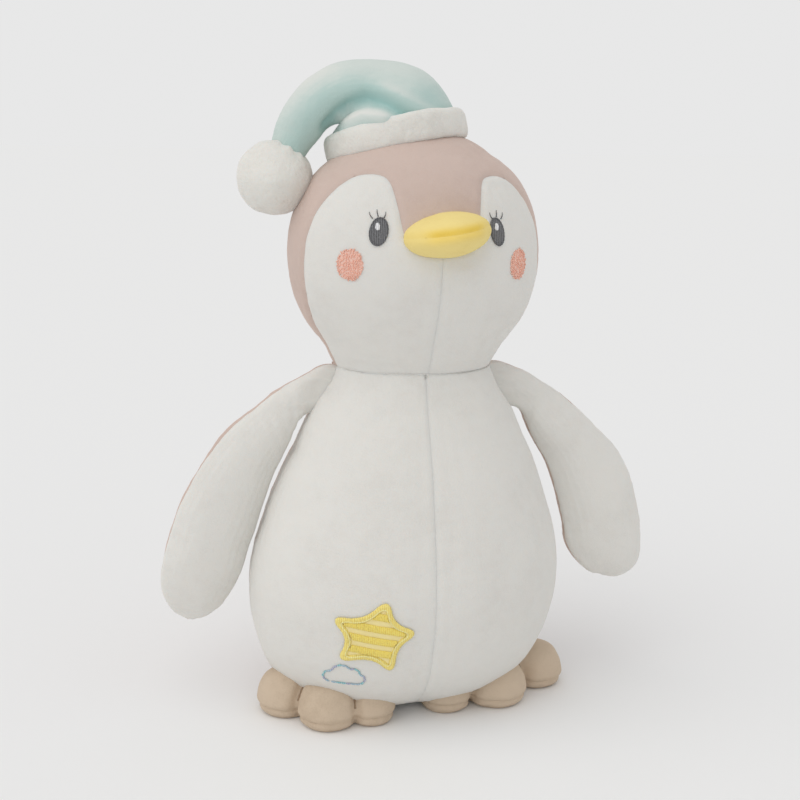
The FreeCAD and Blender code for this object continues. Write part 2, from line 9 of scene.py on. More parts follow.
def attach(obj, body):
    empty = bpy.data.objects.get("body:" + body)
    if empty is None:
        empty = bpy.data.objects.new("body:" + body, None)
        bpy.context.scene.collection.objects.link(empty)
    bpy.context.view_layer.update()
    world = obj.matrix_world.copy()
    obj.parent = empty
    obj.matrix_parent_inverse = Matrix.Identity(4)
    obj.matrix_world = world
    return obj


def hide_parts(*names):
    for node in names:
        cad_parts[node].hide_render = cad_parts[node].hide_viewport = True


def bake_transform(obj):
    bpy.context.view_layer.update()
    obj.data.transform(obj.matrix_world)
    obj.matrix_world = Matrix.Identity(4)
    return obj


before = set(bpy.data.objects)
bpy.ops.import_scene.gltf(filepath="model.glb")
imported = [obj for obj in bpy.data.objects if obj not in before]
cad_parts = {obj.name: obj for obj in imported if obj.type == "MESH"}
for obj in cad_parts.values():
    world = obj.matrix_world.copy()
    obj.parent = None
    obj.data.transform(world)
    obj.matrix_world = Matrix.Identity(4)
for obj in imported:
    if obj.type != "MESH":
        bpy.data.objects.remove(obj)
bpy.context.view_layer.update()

MM = 0.001
rng = np.random.default_rng(7)

# ------------------------------------------------------------------ sizes (mm), the same as the CAD part's
HEAD_X = 2.5
PIVOT = np.array([2.5, 0.0, 176.0])
BOWL_R = 43.6
SIDE_Y = 8.0
BASE_BACK = 8.5
FRONT_X = 1.2
BASE_TOP = 5.0
TORSO = np.array([(0, 31, 21), (3, 40, 27), (8, 48, 33.5), (15, 54.5, 39.5), (23, 59, 44.5), (34, 63, 49), (45, 65.3, 52),
                  (56, 66, 54), (70, 64.5, 53.5), (85, 60.5, 51), (100, 55, 47), (115, 48.5, 42), (130, 41, 36),
                  (140, 35.5, 32), (147, 32.5, 29.5)], float)
HEAD = np.array([(130, 14, 12), (134, 20, 18), (140, 27, 24.5), (146, 32, 28.5), (155, 36.8, 33), (165, 43.3, 38.5),
                 (175, 48.2, 43), (186, 50.8, 46), (196, 51.2, 46.5), (206, 49.8, 45), (216, 46, 41.5), (226, 39, 35.5),
                 (234, 30, 27), (240, 20, 18), (244, 6, 5.5)], float)
FACE = [(0, 196.5), (9, 197.0), (15.5, 201), (17.2, 205), (19.2, 212), (22.5, 219), (25.5, 222.7), (29.5, 224.7), (36, 225.4), (42, 225.2),
        (49, 223.8), (55.5, 220.5), (62, 213.8), (66, 205.8), (69, 197.5), (70, 188), (71.5, 177), (75, 167.5),
        (80, 156), (84, 146), (86, 136), (87, 128)]
HAT = [((-4.5, 5.5, 234), (-0.20, 0.15, 0.968), 25.5, 24.5),
       ((-7.5, 5.5, 247), (-0.28, 0.08, 0.957), 25.0, 23.5),
       ((-11.5, 5.3, 254.5), (-0.55, 0.03, 0.83), 20.0, 19.5),
       ((-19, 5, 256.5), (-0.88, 0, 0.47), 14.5, 15.0),
       ((-27, 4.6, 255.8), (-0.96, 0, -0.12), 12.2, 12.4),
       ((-31.5, 4.4, 254.0), (-0.90, 0, -0.40), 11.3, 11.3),
       ((-37, 4, 250.5), (-0.78, 0, -0.62), 10.2, 10.2),
       ((-43.5, 4, 243), (-0.6, 0, -0.8), 8.8, 8.8),
       ((-48.3, 4, 235.5), (-0.45, 0, -0.89), 7.4, 7.4),
       ((-51.2, 4, 229.0), (-0.42, 0, -0.9), 6.4, 6.4)]
POM_C = np.array([-55.0, 3.0, 223.0])
POM_R = np.array([15.4, 15.6, 14.6])
POM_PIVOT = np.array([-50.6, 4.0, 231.0])
BRIM_C = np.array([-4.5, 5.5, 239.4])
BRIM_N = np.array([-0.20, 0.15, 0.968])
BRIM_N = BRIM_N / np.linalg.norm(BRIM_N)
FLIP_R = [((-34.5, 147.5), (-42.5, 126.0), 3.4), ((-48, 141.0), (-46.0, 121.0), 5.0), ((-62, 131.5), (-50.8, 110.5), 6.6),
          ((-76.3, 119), (-57, 97), 7.6), ((-88.5, 103), (-62.2, 81), 8.2), ((-97.4, 84.3), (-66.2, 69), 8.2),
          ((-102.6, 65), (-69.8, 57.5), 7.4), ((-102.5, 52), (-75.5, 47.5), 5.6), ((-97.5, 42.8), (-84, 40.4), 3.0),
          ((-93.5, 40.0), (-89.5, 39.5), 1.0)]
FLIP_L = [((39.5, 147.5), (47.8, 127.0), 3.4), ((53, 142), (52.0, 123), 5.0), ((68, 132.5), (57.6, 111.5), 6.6),
          ((84, 119), (64.2, 99.5), 7.6), ((97, 105.4), (69.6, 84.5), 8.2), ((106.4, 86.5), (72.6, 73), 8.2),
          ((110.8, 67.5), (75, 62.5), 7.4), ((109.8, 55), (83.5, 51.8), 5.6), ((104.5, 48.4), (92, 47.5), 3.0),
          ((100.5, 47.0), (97, 46.8), 1.0)]
FOOT_R = {"toes": [(-18.5, -26, 10.0), (-36.5, -25, 13.0), (-51.6, -9.5, 12.4)], "heel": (-37, -8, 13.5)}
FOOT_L = {"toes": [(15.2, -19.0, 11.1), (38.6, -16.5, 13.6), (61.6, -1.5, 12.3)], "heel": (41, 3, 14.0)}
FOOT_H = 15.0
TOE_K = 1.28            # the stuffed toes rise a little over the CAD part's plain ones
SOLE_Z = 4.0
BEAK_X, BEAK_Z, BEAK_TILT = 4.6, 203.8, 0.16
BEAK = np.array([(-34, 16.2, 8.0), (-40, 16.8, 8.3), (-46, 16.8, 8.6), (-51.5, 14.8, 7.9), (-56.5, 11.0, 6.3), (-60, 6.8, 4.2), (-61.8, 2.5, 1.7)], float)
STAR_C = np.array([-22.6, 46.5])
STAR_TIPS = [(-18.6, 61.0), (-8.0, 48.5), (-15.6, 31.6), (-34.6, 36.0), (-37.2, 53.6)]
STAR_NOTCH = [(-14.6, 53.8), (-12.6, 41.6), (-23.2, 36.2), (-33.8, 44.9), (-28.2, 55.4)]
CLOUD = [(-37.6, 22.3), (-39.8, 23.2), (-40.8, 25.4), (-39.9, 27.6), (-37.6, 28.5), (-36.4, 30.6), (-34.2, 31.9),
         (-31.5, 31.8), (-29.4, 30.3), (-27.4, 30.6), (-25.6, 29.6), (-24.9, 27.8), (-23.0, 26.9), (-22.3, 24.9),
         (-23.3, 22.9), (-25.2, 22.3)]


# ------------------------------------------------------------------ number helpers
def spline(x, y, q):
    """natural cubic through (x, y) at q; y may have several columns"""
    x = np.asarray(x, float)
    y = np.asarray(y, float)
    one = y.ndim == 1
    if one:
        y = y[:, None]
    n = len(x)
    h = np.diff(x)
    A = np.zeros((n, n))
    r = np.zeros((n, y.shape[1]))
    A[0, 0] = A[-1, -1] = 1
    for i in range(1, n - 1):
        A[i, i - 1], A[i, i], A[i, i + 1] = h[i - 1], 2 * (h[i - 1] + h[i]), h[i]
        r[i] = 3 * ((y[i + 1] - y[i]) / h[i] - (y[i] - y[i - 1]) / h[i - 1])
    c = np.linalg.solve(A, r)
    q = np.clip(np.asarray(q, float), x[0], x[-1])
    k = np.clip(np.searchsorted(x, q, side="right") - 1, 0, n - 2)
    b = (y[1:] - y[:-1]) / h[:, None] - h[:, None] * (2 * c[:-1] + c[1:]) / 3
    d = (c[1:] - c[:-1]) / (3 * h[:, None])
    t = (q - x[k])[..., None]
    out = y[k] + b[k] * t + c[k] * t * t + d[k] * t ** 3
    return out[..., 0] if one else out


def hash3(i, j, k, seed):
    n = (i * 374761393 + j * 668265263 + k * 2147483647 + seed * 974634777) & 0xFFFFFFFF
    n = ((n ^ (n >> 13)) * 1274126177) & 0xFFFFFFFF
    n = (n ^ (n >> 16)) & 0xFFFFFFFF
    return n.astype(float) / 4294967295.0 * 2 - 1


def turn3(seed):
    r = np.random.default_rng(900 + seed).normal(size=(3, 3))
    q, _ = np.linalg.qr(r)
    return q


def noise3(p, size, seed=0):
    """smooth noise without a grain of its own, about -1..1, with features of that size in mm"""
    p = np.asarray(p, float)
    return 0.62 * (lattice(p @ turn3(seed), size, seed) + lattice(p @ turn3(seed + 50), size * 0.87, seed + 7)
                   + lattice(p @ turn3(seed + 100), size * 1.13, seed + 13))


def lattice(p, size, seed):
    q = p / size + 1000.0
    i = np.floor(q).astype(np.int64)
    f = q - i
    f = f * f * (3 - 2 * f)
    out = np.zeros(len(p))
    for dx in (0, 1):
        for dy in (0, 1):
            for dz in (0, 1):
                w = (f[:, 0] if dx else 1 - f[:, 0]) * (f[:, 1] if dy else 1 - f[:, 1]) * (f[:, 2] if dz else 1 - f[:, 2])
                out += w * hash3(i[:, 0] + dx, i[:, 1] + dy, i[:, 2] + dz, seed)
    return out


def smooth01(x):
    x = np.clip(x, 0, 1)
    return x * x * (3 - 2 * x)


def unit(v):
    v = np.asarray(v, float)
    return v / np.maximum(np.linalg.norm(v, axis=-1, keepdims=True), 1e-12)


# ------------------------------------------------------------------ mesh helpers (work in mm, objects are made in metres)
class Skin:
    """a triangle mesh with a few named numbers at each vertex"""

    def __init__(self, v, t, **extra):
        self.v = np.asarray(v, float)
        self.t = np.asarray(t, np.int64)
        self.x = {k: np.asarray(a, float) for k, a in extra.items()}

    def normals(self):
        v, t = self.v, self.t
        fn = np.cross(v[t[:, 1]] - v[t[:, 0]], v[t[:, 2]] - v[t[:, 0]])
        n = np.zeros_like(v)
        for k in range(3):
            np.add.at(n, t[:, k], fn)
        return unit(n)

    def edges(self):
        e = np.concatenate([self.t[:, [0, 1]], self.t[:, [1, 2]], self.t[:, [2, 0]]])
        return np.unique(np.sort(e, axis=1), axis=0)

    def snap(self, s, fixed=None):
        """slides vertices along edges so that the line s = 0 runs along edges; returns s with those vertices at 0"""
        s = np.array(s, float)
        s[np.abs(s) < 1e-9] = 0.0
        e = self.edges()
        c = e[(s[e[:, 0]] * s[e[:, 1]]) < 0]
        t = s[c[:, 0]] / (s[c[:, 0]] - s[c[:, 1]])
        order = np.argsort(np.minimum(t, 1 - t))
        moved = {}
        v0 = self.v.copy()
        x0 = {k: a.copy() for k, a in self.x.items()}
        for i in order:
            a, b = int(c[i, 0]), int(c[i, 1])
            if a in moved or b in moved:
                continue
            k = float(t[i])
            near = a if k < 0.5 else b
            if fixed is not None and fixed[near]:
                near = b if near == a else a
                if fixed[near]:
                    continue
            self.v[near] = v0[a] * (1 - k) + v0[b] * k
            for n_, arr in self.x.items():
                p, q = x0[n_][a], x0[n_][b]
                if n_ == "u" and abs(p - q) > 0.5:      # u runs round the form
                    p, q = (p + 1, q) if p < q else (p, q + 1)
                arr[near] = p * (1 - k) + q * k
            moved[near] = True
            s[near] = 0.0
        return s

    def smooth(self, times, k=0.5, keep=None):
        e = self.edges()
        n = np.zeros(len(self.v))
        np.add.at(n, e[:, 0], 1)
        np.add.at(n, e[:, 1], 1)
        for _ in range(times):
            acc = np.zeros_like(self.v)
            np.add.at(acc, e[:, 0], self.v[e[:, 1]])
            np.add.at(acc, e[:, 1], self.v[e[:, 0]])
            new = self.v * (1 - k) + acc / np.maximum(n, 1)[:, None] * k
            if keep is not None:
                new[keep] = self.v[keep]
            self.v = new


def face_side(s, t):
    """+1 or -1 for each triangle, from the sign of s at its corners"""
    return np.where(s[t].sum(axis=1) >= 0, 1, -1)


def grid(rows, cols, close_lo=True, close_hi=True):
    """triangles of a tube of rows x cols points (cols wrap), with the two ends closed by a point each"""
    r, c = np.meshgrid(np.arange(rows - 1), np.arange(cols), indexing="ij")
    a = r * cols + c
    b = r * cols + (c + 1) % cols
    d = (r + 1) * cols + c
    e = (r + 1) * cols + (c + 1) % cols
    flip = ((r + c) % 2 == 0)
    t = []
    t.append(np.stack([a[flip], b[flip], e[flip]], 1))
    t.append(np.stack([a[flip], e[flip], d[flip]], 1))
    t.append(np.stack([a[~flip], b[~flip], d[~flip]], 1))
    t.append(np.stack([b[~flip], e[~flip], d[~flip]], 1))
    n = rows * cols
    k = np.arange(cols)
    if close_lo:
        t.append(np.stack([np.full(cols, n), (k + 1) % cols, k], 1))
        n += 1
    if close_hi:
        base = (rows - 1) * cols
        t.append(np.stack([np.full(cols, n), base + k, base + (k + 1) % cols], 1))
    return np.concatenate(t)


def line_distance(skin, on, reach):
    """distance of every vertex from the nearest vertex flagged on, up to reach"""
    idx = np.nonzero(on)[0]
    d = np.full(len(skin.v), float(reach))
    if len(idx) == 0:
        return d
    tree = kdtree.KDTree(len(idx))
    for i in idx:
        tree.insert(Vector(skin.v[i]), int(i))
    tree.balance()
    pts = skin.v[idx]
    lo, hi = pts.min(0) - reach, pts.max(0) + reach
    near = np.nonzero(np.all((skin.v >= lo) & (skin.v <= hi), axis=1))[0]
    for i in near:
        d[i] = min(reach, tree.find(Vector(skin.v[i]))[2])
    return d


def make_object(name, v_mm, faces, smooth=True, attrs=None):
    me = bpy.data.meshes.new(name)
    v = (np.asarray(v_mm, float) * MM).astype(np.float32)
    f = np.asarray(faces, np.int32)
    me.vertices.add(len(v))
    me.vertices.foreach_set("co", v.ravel())
    k = f.shape[1]
    me.loops.add(f.size)
    me.loops.foreach_set("vertex_index", f.ravel())
    me.polygons.add(len(f))
    me.polygons.foreach_set("loop_start", np.arange(len(f), dtype=np.int32) * k)
    me.polygons.foreach_set("use_smooth", np.full(len(f), smooth))
    me.update(calc_edges=True)
    for key, a in (attrs or {}).items():
        at = me.attributes.new(key, "FLOAT", "POINT")
        at.data.foreach_set("value", np.asarray(a, np.float32))
    ob = bpy.data.objects.new(name, me)
    bpy.context.scene.collection.objects.link(ob)
    return ob


def panel(name, skin, mask, normals, hem=2.2, attrs=None):
    """one sewn panel: the chosen triangles, with the cut edge turned in as a hem"""
    t = skin.t[mask]
    used, inv = np.unique(t, return_inverse=True)
    t = inv.reshape(t.shape)
    v = skin.v[used].copy()
    nn = normals[used]
    e = np.concatenate([t[:, [0, 1]], t[:, [1, 2]], t[:, [2, 0]]])
    key = np.sort(e, axis=1)
    uq, first, cnt = np.unique(key, axis=0, return_index=True, return_counts=True)
    border = e[first[cnt == 1]]
    extra = {k: a[used] for k, a in (attrs or {}).items()}
    if len(border):
        ring = np.unique(border)
        pos = {int(r): i for i, r in enumerate(ring)}
        # the way in from the edge: against the normal, and a little under the panel itself
        inward = np.zeros((len(v), 3))
        w = np.zeros(len(v))
        e2 = uq
        for a_, b_ in ((0, 1), (1, 0)):
            m = np.isin(e2[:, a_], ring) & ~np.isin(e2[:, b_], ring)
            np.add.at(inward, e2[m, a_], v[e2[m, b_]] - v[e2[m, a_]])
            np.add.at(w, e2[m, a_], 1)
        inward = unit(inward / np.maximum(w, 1)[:, None])
        base = len(v)
        levels = []
        for k, (dn, di) in enumerate(((0.45 * hem, 0.05), (hem, 0.35))):
            levels.append(v[ring] - nn[ring] * dn + inward[ring] * di)
        m_ = len(ring)
        b0 = np.array([pos[int(a)] for a in border[:, 0]])
        b1 = np.array([pos[int(b)] for b in border[:, 1]])
        new = []
        prev0, prev1 = border[:, 0], border[:, 1]
        for k in range(2):
            q0, q1 = base + k * m_ + b0, base + k * m_ + b1
            new.append(np.stack([prev1, prev0, q0], 1))
            new.append(np.stack([prev1, q0, q1], 1))
            prev0, prev1 = q0, q1
        v = np.concatenate([v] + levels)
        t = np.concatenate([t] + new)
        extra = {k: np.concatenate([a, a[ring], a[ring]]) for k, a in extra.items()}
    ob = make_object(name, v, t, attrs=extra)
    if len(border):
        me = ob.data
        ev = np.zeros(len(me.edges) * 2, np.int32)
        me.edges.foreach_get("vertices", ev)
        ev = np.sort(ev.reshape(-1, 2), axis=1).astype(np.int64)
        want = np.sort(border, axis=1)
        n_ = len(v)
        hit = np.isin(ev[:, 0] * n_ + ev[:, 1], want[:, 0] * n_ + want[:, 1])
        at = me.attributes.get("sharp_edge") or me.attributes.new("sharp_edge", "BOOLEAN", "EDGE")
        at.data.foreach_set("value", hit)
    return ob


def bvh_of(skin):
    return BVHTree.FromPolygons([tuple(p) for p in skin.v], [tuple(int(i) for i in f) for f in skin.t])


# ------------------------------------------------------------------ cloth: each stuffed form is puffed up between its pinned seams
def puff(name, P, pinned, cap, pressure=3.0, slack=0.035, push=None, close=True):
    """P is rows x cols points of a closed tube in mm. Returns how far each point moves when the cover,
    cut a little large, is blown up between the pinned seams and the end rows."""
    rows, cols = P.shape[:2]
    r, c = np.meshgrid(np.arange(rows - 1), np.arange(cols), indexing="ij")
    a = r * cols + c
    b = r * cols + (c + 1) % cols
    q = np.stack([a, b, (r + 1) * cols + (c + 1) % cols, (r + 1) * cols + c], -1).reshape(-1, 4)
    rest = P.reshape(-1, 3).copy()
    # the cover's outside faces out, so that the pressure blows it up
    fn = np.cross(rest[q[:, 1]] - rest[q[:, 0]], rest[q[:, 3]] - rest[q[:, 0]])
    row_mid = np.repeat(P.mean(axis=1), cols, axis=0)[q[:, 0]]
    if (fn * (rest[q].mean(axis=1) - row_mid)).sum() < 0:
        q = q[:, ::-1]
    wob = np.stack([noise3(rest, 14, 3), noise3(rest, 14, 4), noise3(rest, 14, 5)], 1) * 0.25
    free = (~pinned.reshape(-1))
    start = rest + wob * free[:, None]
    # the simulation runs at ten times the size, where its solver is at ease
    K = 10.0
    ob = make_object(name + "_sim", start * K, q)
    vg = ob.vertex_groups.new(name="pin")
    vg.add([int(i) for i in np.nonzero(~free)[0]], 1.0, "REPLACE")
    mod = ob.modifiers.new("cloth", "CLOTH")
    s = mod.settings
    s.quality = 4
    s.mass = 0.25
    s.air_damping = 4.0
    s.tension_stiffness = 12
    s.compression_stiffness = 6
    s.shear_stiffness = 4
    s.bending_stiffness = 0.6
    s.use_pressure = True
    s.uniform_pressure_force = pressure
    s.shrink_min = -slack
    s.vertex_group_mass = "pin"
    s.pin_stiffness = 1.0
    s.effector_weights.gravity = 0.0
    mod.collision_settings.use_collision = False
    mod.collision_settings.use_self_collision = False
    sc = bpy.context.scene
    mod.point_cache.frame_start = 1
    mod.point_cache.frame_end = 24
    for f in range(1, 21):
        sc.frame_set(f)
    dg = bpy.context.evaluated_depsgraph_get()
    ev = ob.evaluated_get(dg)
    co = np.zeros(len(rest) * 3, np.float32)
    ev.data.vertices.foreach_get("co", co)
    got = co.reshape(-1, 3) / MM / K
    sc.frame_set(1)
    bpy.data.objects.remove(ob, do_unlink=True)
    d = got - rest
    if not np.all(np.isfinite(d)):
        return np.zeros_like(P)
    length = np.linalg.norm(d, axis=1)
    print("CLOTH %s mean %.2f max %.2f mm" % (name, length.mean(), length.max()))
    d = d * (np.minimum(length, cap * np.tanh(length / cap)) / np.maximum(length, 1e-9))[:, None]
    d = d.reshape(P.shape)
    return d


def sample(D, u, v):
    """bilinear look-up of a rows x cols field: u wraps 0..1 round, v 0..1 along"""
    rows, cols = D.shape[:2]
    x = (np.asarray(u) % 1.0) * cols
    y = np.clip(np.asarray(v), 0, 1) * (rows - 1)
    i = np.floor(x).astype(int) % cols
    j = np.clip(np.floor(y).astype(int), 0, rows - 2)
    fx, fy = (x - np.floor(x)), (y - j)
    fx = fx * fx * (3 - 2 * fx)
    fy = fy * fy * (3 - 2 * fy)
    i2 = (i + 1) % cols
    return (D[j, i] * ((1 - fx) * (1 - fy))[:, None] + D[j, i2] * (fx * (1 - fy))[:, None]
            + D[j + 1, i] * ((1 - fx) * fy)[:, None] + D[j + 1, i2] * (fx * fy)[:, None])


def soften(D, times=1):
    for _ in range(times):
        E = (np.roll(D, 1, 1) + np.roll(D, -1, 1) + 2 * D) / 4
        F = E.copy()
        F[1:-1] = (E[:-2] + E[2:] + 2 * E[1:-1]) / 4
        D = F
    return D


# ------------------------------------------------------------------ materials
def lin(c):
    return tuple(((x / 255.0) / 12.92 if x / 255.0 <= 0.04045 else ((x / 255.0 + 0.055) / 1.055) ** 2.4) for x in c) + (1.0,)


def velour(name, rgb, mottle_dark_and_crease_shade=None, pile=0.55, sheen=0.25, rough=0.9, mottle=0.5, bump=0.3, painted_shade_and_highlight=None, coarse=5.0, tint=None, sss=0.0):
    """short pile fabric: brushed light and dark patches, a fine nap, soft sheen at grazing angles"""
    m = bpy.data.materials.new(name)
    m.use_nodes = True
    nt = m.node_tree
    nt.nodes.clear()
    N = nt.nodes.new
    L = nt.links.new
    out = N("ShaderNodeOutputMaterial")
    bs = N("ShaderNodeBsdfPrincipled")
    L(bs.outputs[0], out.inputs[0])
    base = np.array(lin(rgb)[:3])
    dark = np.array(lin(mottle_dark_and_crease_shade)[:3]) if mottle_dark_and_crease_shade else base * 0.86
    lite = np.minimum(base * 1.05, 0.93)
    tc = N("ShaderNodeTexCoord")
    co = tc.outputs["Object"]
    n1 = N("ShaderNodeTexNoise")
    n1.inputs["Scale"].default_value = 1000.0 / (coarse * 7)
    n1.inputs["Detail"].default_value = 3
    n1.inputs["Roughness"].default_value = 0.55
    n2 = N("ShaderNodeTexNoise")
    n2.inputs["Scale"].default_value = 1000.0 / coarse
    n2.inputs["Detail"].default_value = 4
    n2.inputs["Roughness"].default_value = 0.6
    n3 = N("ShaderNodeTexNoise")
    n3.inputs["Scale"].default_value = 1000.0 / pile
    n3.inputs["Detail"].default_value = 2
    n3.inputs["Roughness"].default_value = 0.7
    for n in (n1, n2, n3):
        L(co, n.inputs["Vector"])
    a = N("ShaderNodeMath"); a.operation = "MULTIPLY_ADD"
    L(n1.outputs[0], a.inputs[0]); a.inputs[1].default_value = 0.5
    b = N("ShaderNodeMath"); b.operation = "MULTIPLY"
    L(n2.outputs[0], b.inputs[0]); b.inputs[1].default_value = 0.28
    L(b.outputs[0], a.inputs[2])
    c = N("ShaderNodeMath"); c.operation = "MULTIPLY_ADD"
    L(n3.outputs[0], c.inputs[0]); c.inputs[1].default_value = 0.22
    L(a.outputs[0], c.inputs[2])
    ramp = N("ShaderNodeValToRGB")
    e = ramp.color_ramp.elements
    half = 0.16 / max(mottle, 0.05)
    e[0].position = max(0.5 - half, 0.0)
    e[0].color = tuple(dark) + (1,)
    e[1].position = min(0.5 + half, 1.0)
    e[1].color = tuple(lite) + (1,)
    mid = ramp.color_ramp.elements.new(0.5)
    mid.color = tuple(base) + (1,)
    L(c.outputs[0], ramp.inputs[0])
    col = ramp.outputs[0]
    # painted light: each listed vertex attribute mixes in a colour for painted shade in creases or a painted highlight
    # on lit faces
    for spec in (painted_shade_and_highlight or []):
        attr, rgb2, gain = spec
        at = N("ShaderNodeAttribute")
        at.attribute_name = attr
        f = N("ShaderNodeMath"); f.operation = "MULTIPLY"; f.use_clamp = True
        L(at.outputs["Fac"], f.inputs[0]); f.inputs[1].default_value = gain
        mx = N("ShaderNodeMix"); mx.data_type = "RGBA"
        L(f.outputs[0], mx.inputs[0])
        L(col, mx.inputs[6])
        mx.inputs[7].default_value = lin(rgb2)
        col = mx.outputs[2]
    L(col, bs.inputs["Base Color"])
    rr = N("ShaderNodeMapRange")
    rr.inputs[1].default_value = 0.3
    rr.inputs[2].default_value = 0.7
    rr.inputs[3].default_value = rough - 0.05
    rr.inputs[4].default_value = min(rough + 0.06, 1.0)
    L(n2.outputs[0], rr.inputs[0])
    L(rr.outputs[0], bs.inputs["Roughness"])
    bs.inputs["Specular IOR Level"].default_value = 0.15
    if sss:
        bs.inputs["Subsurface Weight"].default_value = sss
        bs.inputs["Subsurface Radius"].default_value = (1.0, 0.82, 0.72)
        bs.inputs["Subsurface Scale"].default_value = 0.003
    bs.inputs["Sheen Weight"].default_value = sheen
    bs.inputs["Sheen Roughness"].default_value = 0.45
    bs.inputs["Sheen Tint"].default_value = tuple(np.minimum(np.array(lin(tint or rgb)[:3]) * 1.1, 1.0)) + (1,)
    h = N("ShaderNodeMath"); h.operation = "MULTIPLY_ADD"
    L(n3.outputs[0], h.inputs[0]); h.inputs[1].default_value = 0.5
    L(n2.outputs[0], h.inputs[2])
    bp = N("ShaderNodeBump")
    bp.inputs["Strength"].default_value = bump
    bp.inputs["Distance"].default_value = 0.0007
    L(h.outputs[0], bp.inputs["Height"])
    L(bp.outputs[0], bs.inputs["Normal"])
    return m


def thread_mat(name, rgb, rgb2=None, rough=0.5, sheen=0.15, scale=0.4, angle=0.0):
    """embroidery thread: fine twisted strands with a soft shine"""
    m = bpy.data.materials.new(name)
    m.use_nodes = True
    nt = m.node_tree
    nt.nodes.clear()
    N = nt.nodes.new
    L = nt.links.new
    out = N("ShaderNodeOutputMaterial")
    bs = N("ShaderNodeBsdfPrincipled")
    L(bs.outputs[0], out.inputs[0])
    tc = N("ShaderNodeTexCoord")
    mp = N("ShaderNodeMapping")
    mp.inputs["Rotation"].default_value = (0, angle, 0)
    L(tc.outputs["Object"], mp.inputs[0])
    nz = N("ShaderNodeTexNoise")
    nz.inputs["Scale"].default_value = 1000.0 / scale
    nz.inputs["Detail"].default_value = 3
    L(mp.outputs[0], nz.inputs["Vector"])
    wv = N("ShaderNodeTexWave")
    wv.inputs["Scale"].default_value = 1000.0 / scale / 6.3
    wv.inputs["Distortion"].default_value = 2.5
    L(mp.outputs[0], wv.inputs["Vector"])
    add = N("ShaderNodeMath"); add.operation = "MULTIPLY_ADD"
    L(wv.outputs["Fac"], add.inputs[0]); add.inputs[1].default_value = 0.5
    L(nz.outputs[0], add.inputs[2])
    ramp = N("ShaderNodeValToRGB")
    e = ramp.color_ramp.elements
    base = np.array(lin(rgb)[:3])
    second = np.array(lin(rgb2)[:3]) if rgb2 else base * 0.72
    e[0].position = 0.35
    e[0].color = tuple(second) + (1,)
    e[1].position = 0.95
    e[1].color = tuple(np.minimum(base * 1.12, 0.95)) + (1,)
    L(add.outputs[0], ramp.inputs[0])
    L(ramp.outputs[0], bs.inputs["Base Color"])
    rr = N("ShaderNodeMapRange")
    rr.inputs[3].default_value = rough - 0.08
    rr.inputs[4].default_value = rough + 0.12
    L(nz.outputs[0], rr.inputs[0])
    L(rr.outputs[0], bs.inputs["Roughness"])
    bs.inputs["Specular IOR Level"].default_value = 0.4
    bs.inputs["Sheen Weight"].default_value = sheen
    bp = N("ShaderNodeBump")
    bp.inputs["Strength"].default_value = 0.35
    bp.inputs["Distance"].default_value = 0.0003
    L(add.outputs[0], bp.inputs["Height"])
    L(bp.outputs[0], bs.inputs["Normal"])
    return m


WHITE = (227, 225, 220)
M_WHITE = velour("white_velour_mat", WHITE, mottle_dark_and_crease_shade=(215, 211, 205), sss=0.25, pile=0.6, sheen=0.20, mottle=0.45, bump=0.35)
M_PINK = velour("pink_velour_mat", (207, 187, 177), mottle_dark_and_crease_shade=(194, 172, 162), sss=0.15, pile=0.6, sheen=0.28, mottle=0.6, bump=0.35, tint=(230, 214, 206))
M_PLUSH = velour("white_plush_mat", (229, 227, 221), mottle_dark_and_crease_shade=(213, 210, 204), pile=0.8, sheen=0.3, mottle=0.6, bump=0.6, coarse=2.6, sss=0.3)
# mint velour: the deep teal is painted shade for the creases, the pale mint a painted highlight for the lit top and
# left side
M_MINT = velour("mint_velour_mat", (184, 208, 203), mottle_dark_and_crease_shade=(168, 197, 193), pile=0.6, sheen=0.3, mottle=0.5, bump=0.35, tint=(225, 236, 232),
                painted_shade_and_highlight=[("mottle_dark_and_crease_shade", (160, 196, 192), 1.0), ("painted_highlight", (226, 226, 221), 1.0)])
M_TAUPE = velour("taupe_velour_mat", (206, 187, 165), mottle_dark_and_crease_shade=(188, 168, 145), pile=0.6, sheen=0.3, mottle=0.8, bump=0.5, tint=(222, 208, 190))
# yellow velour: the deeper yellow is painted shade along the beak's crease
M_BEAK = velour("yellow_velour_mat", (243, 221, 146), mottle_dark_and_crease_shade=(232, 206, 128), pile=0.5, sheen=0.25, mottle=0.6, bump=0.35, tint=(250, 236, 180),
                painted_shade_and_highlight=[("mottle_dark_and_crease_shade", (242, 208, 96), 1.0)])
M_GREY = thread_mat("grey_thread_mat", (122, 122, 124), (74, 74, 76))
M_LASH = thread_mat("lash_thread_mat", (104, 104, 106), (64, 64, 66))
M_GLINT = thread_mat("white_thread_mat", (236, 236, 236), (205, 205, 208))
M_CORAL = velour("coral_ground_mat", (242, 204, 190), mottle_dark_and_crease_shade=(236, 188, 172), pile=0.5, sheen=0.15, mottle=0.9, bump=0.4)
M_CORAL2 = thread_mat("coral_thread_mat", (248, 192, 172), (240, 168, 146))
M_FELT = velour("yellow_felt_mat", (246, 230, 168), mottle_dark_and_crease_shade=(238, 216, 140), pile=0.4, sheen=0.2, mottle=0.7, bump=0.4)
M_STRIPE = thread_mat("deep_yellow_thread_mat", (248, 222, 118), (242, 208, 96))
M_BORDER = thread_mat("yellow_thread_mat", (246, 224, 136), (236, 206, 104))
M_INNERLINE = thread_mat("pale_yellow_thread_mat", (246, 232, 168), (228, 208, 130))
M_CLOUD = thread_mat("blue_thread_mat", (170, 192, 204), (140, 166, 184))
M_CLOUD2 = thread_mat("teal_thread_mat", (150, 196, 200), (118, 172, 180))
M_CLOUD3 = thread_mat("lavender_thread_mat", (176, 180, 200), (150, 154, 180))
M_TSTITCH = thread_mat("taupe_thread_mat", (164, 140, 116), (134, 112, 90))


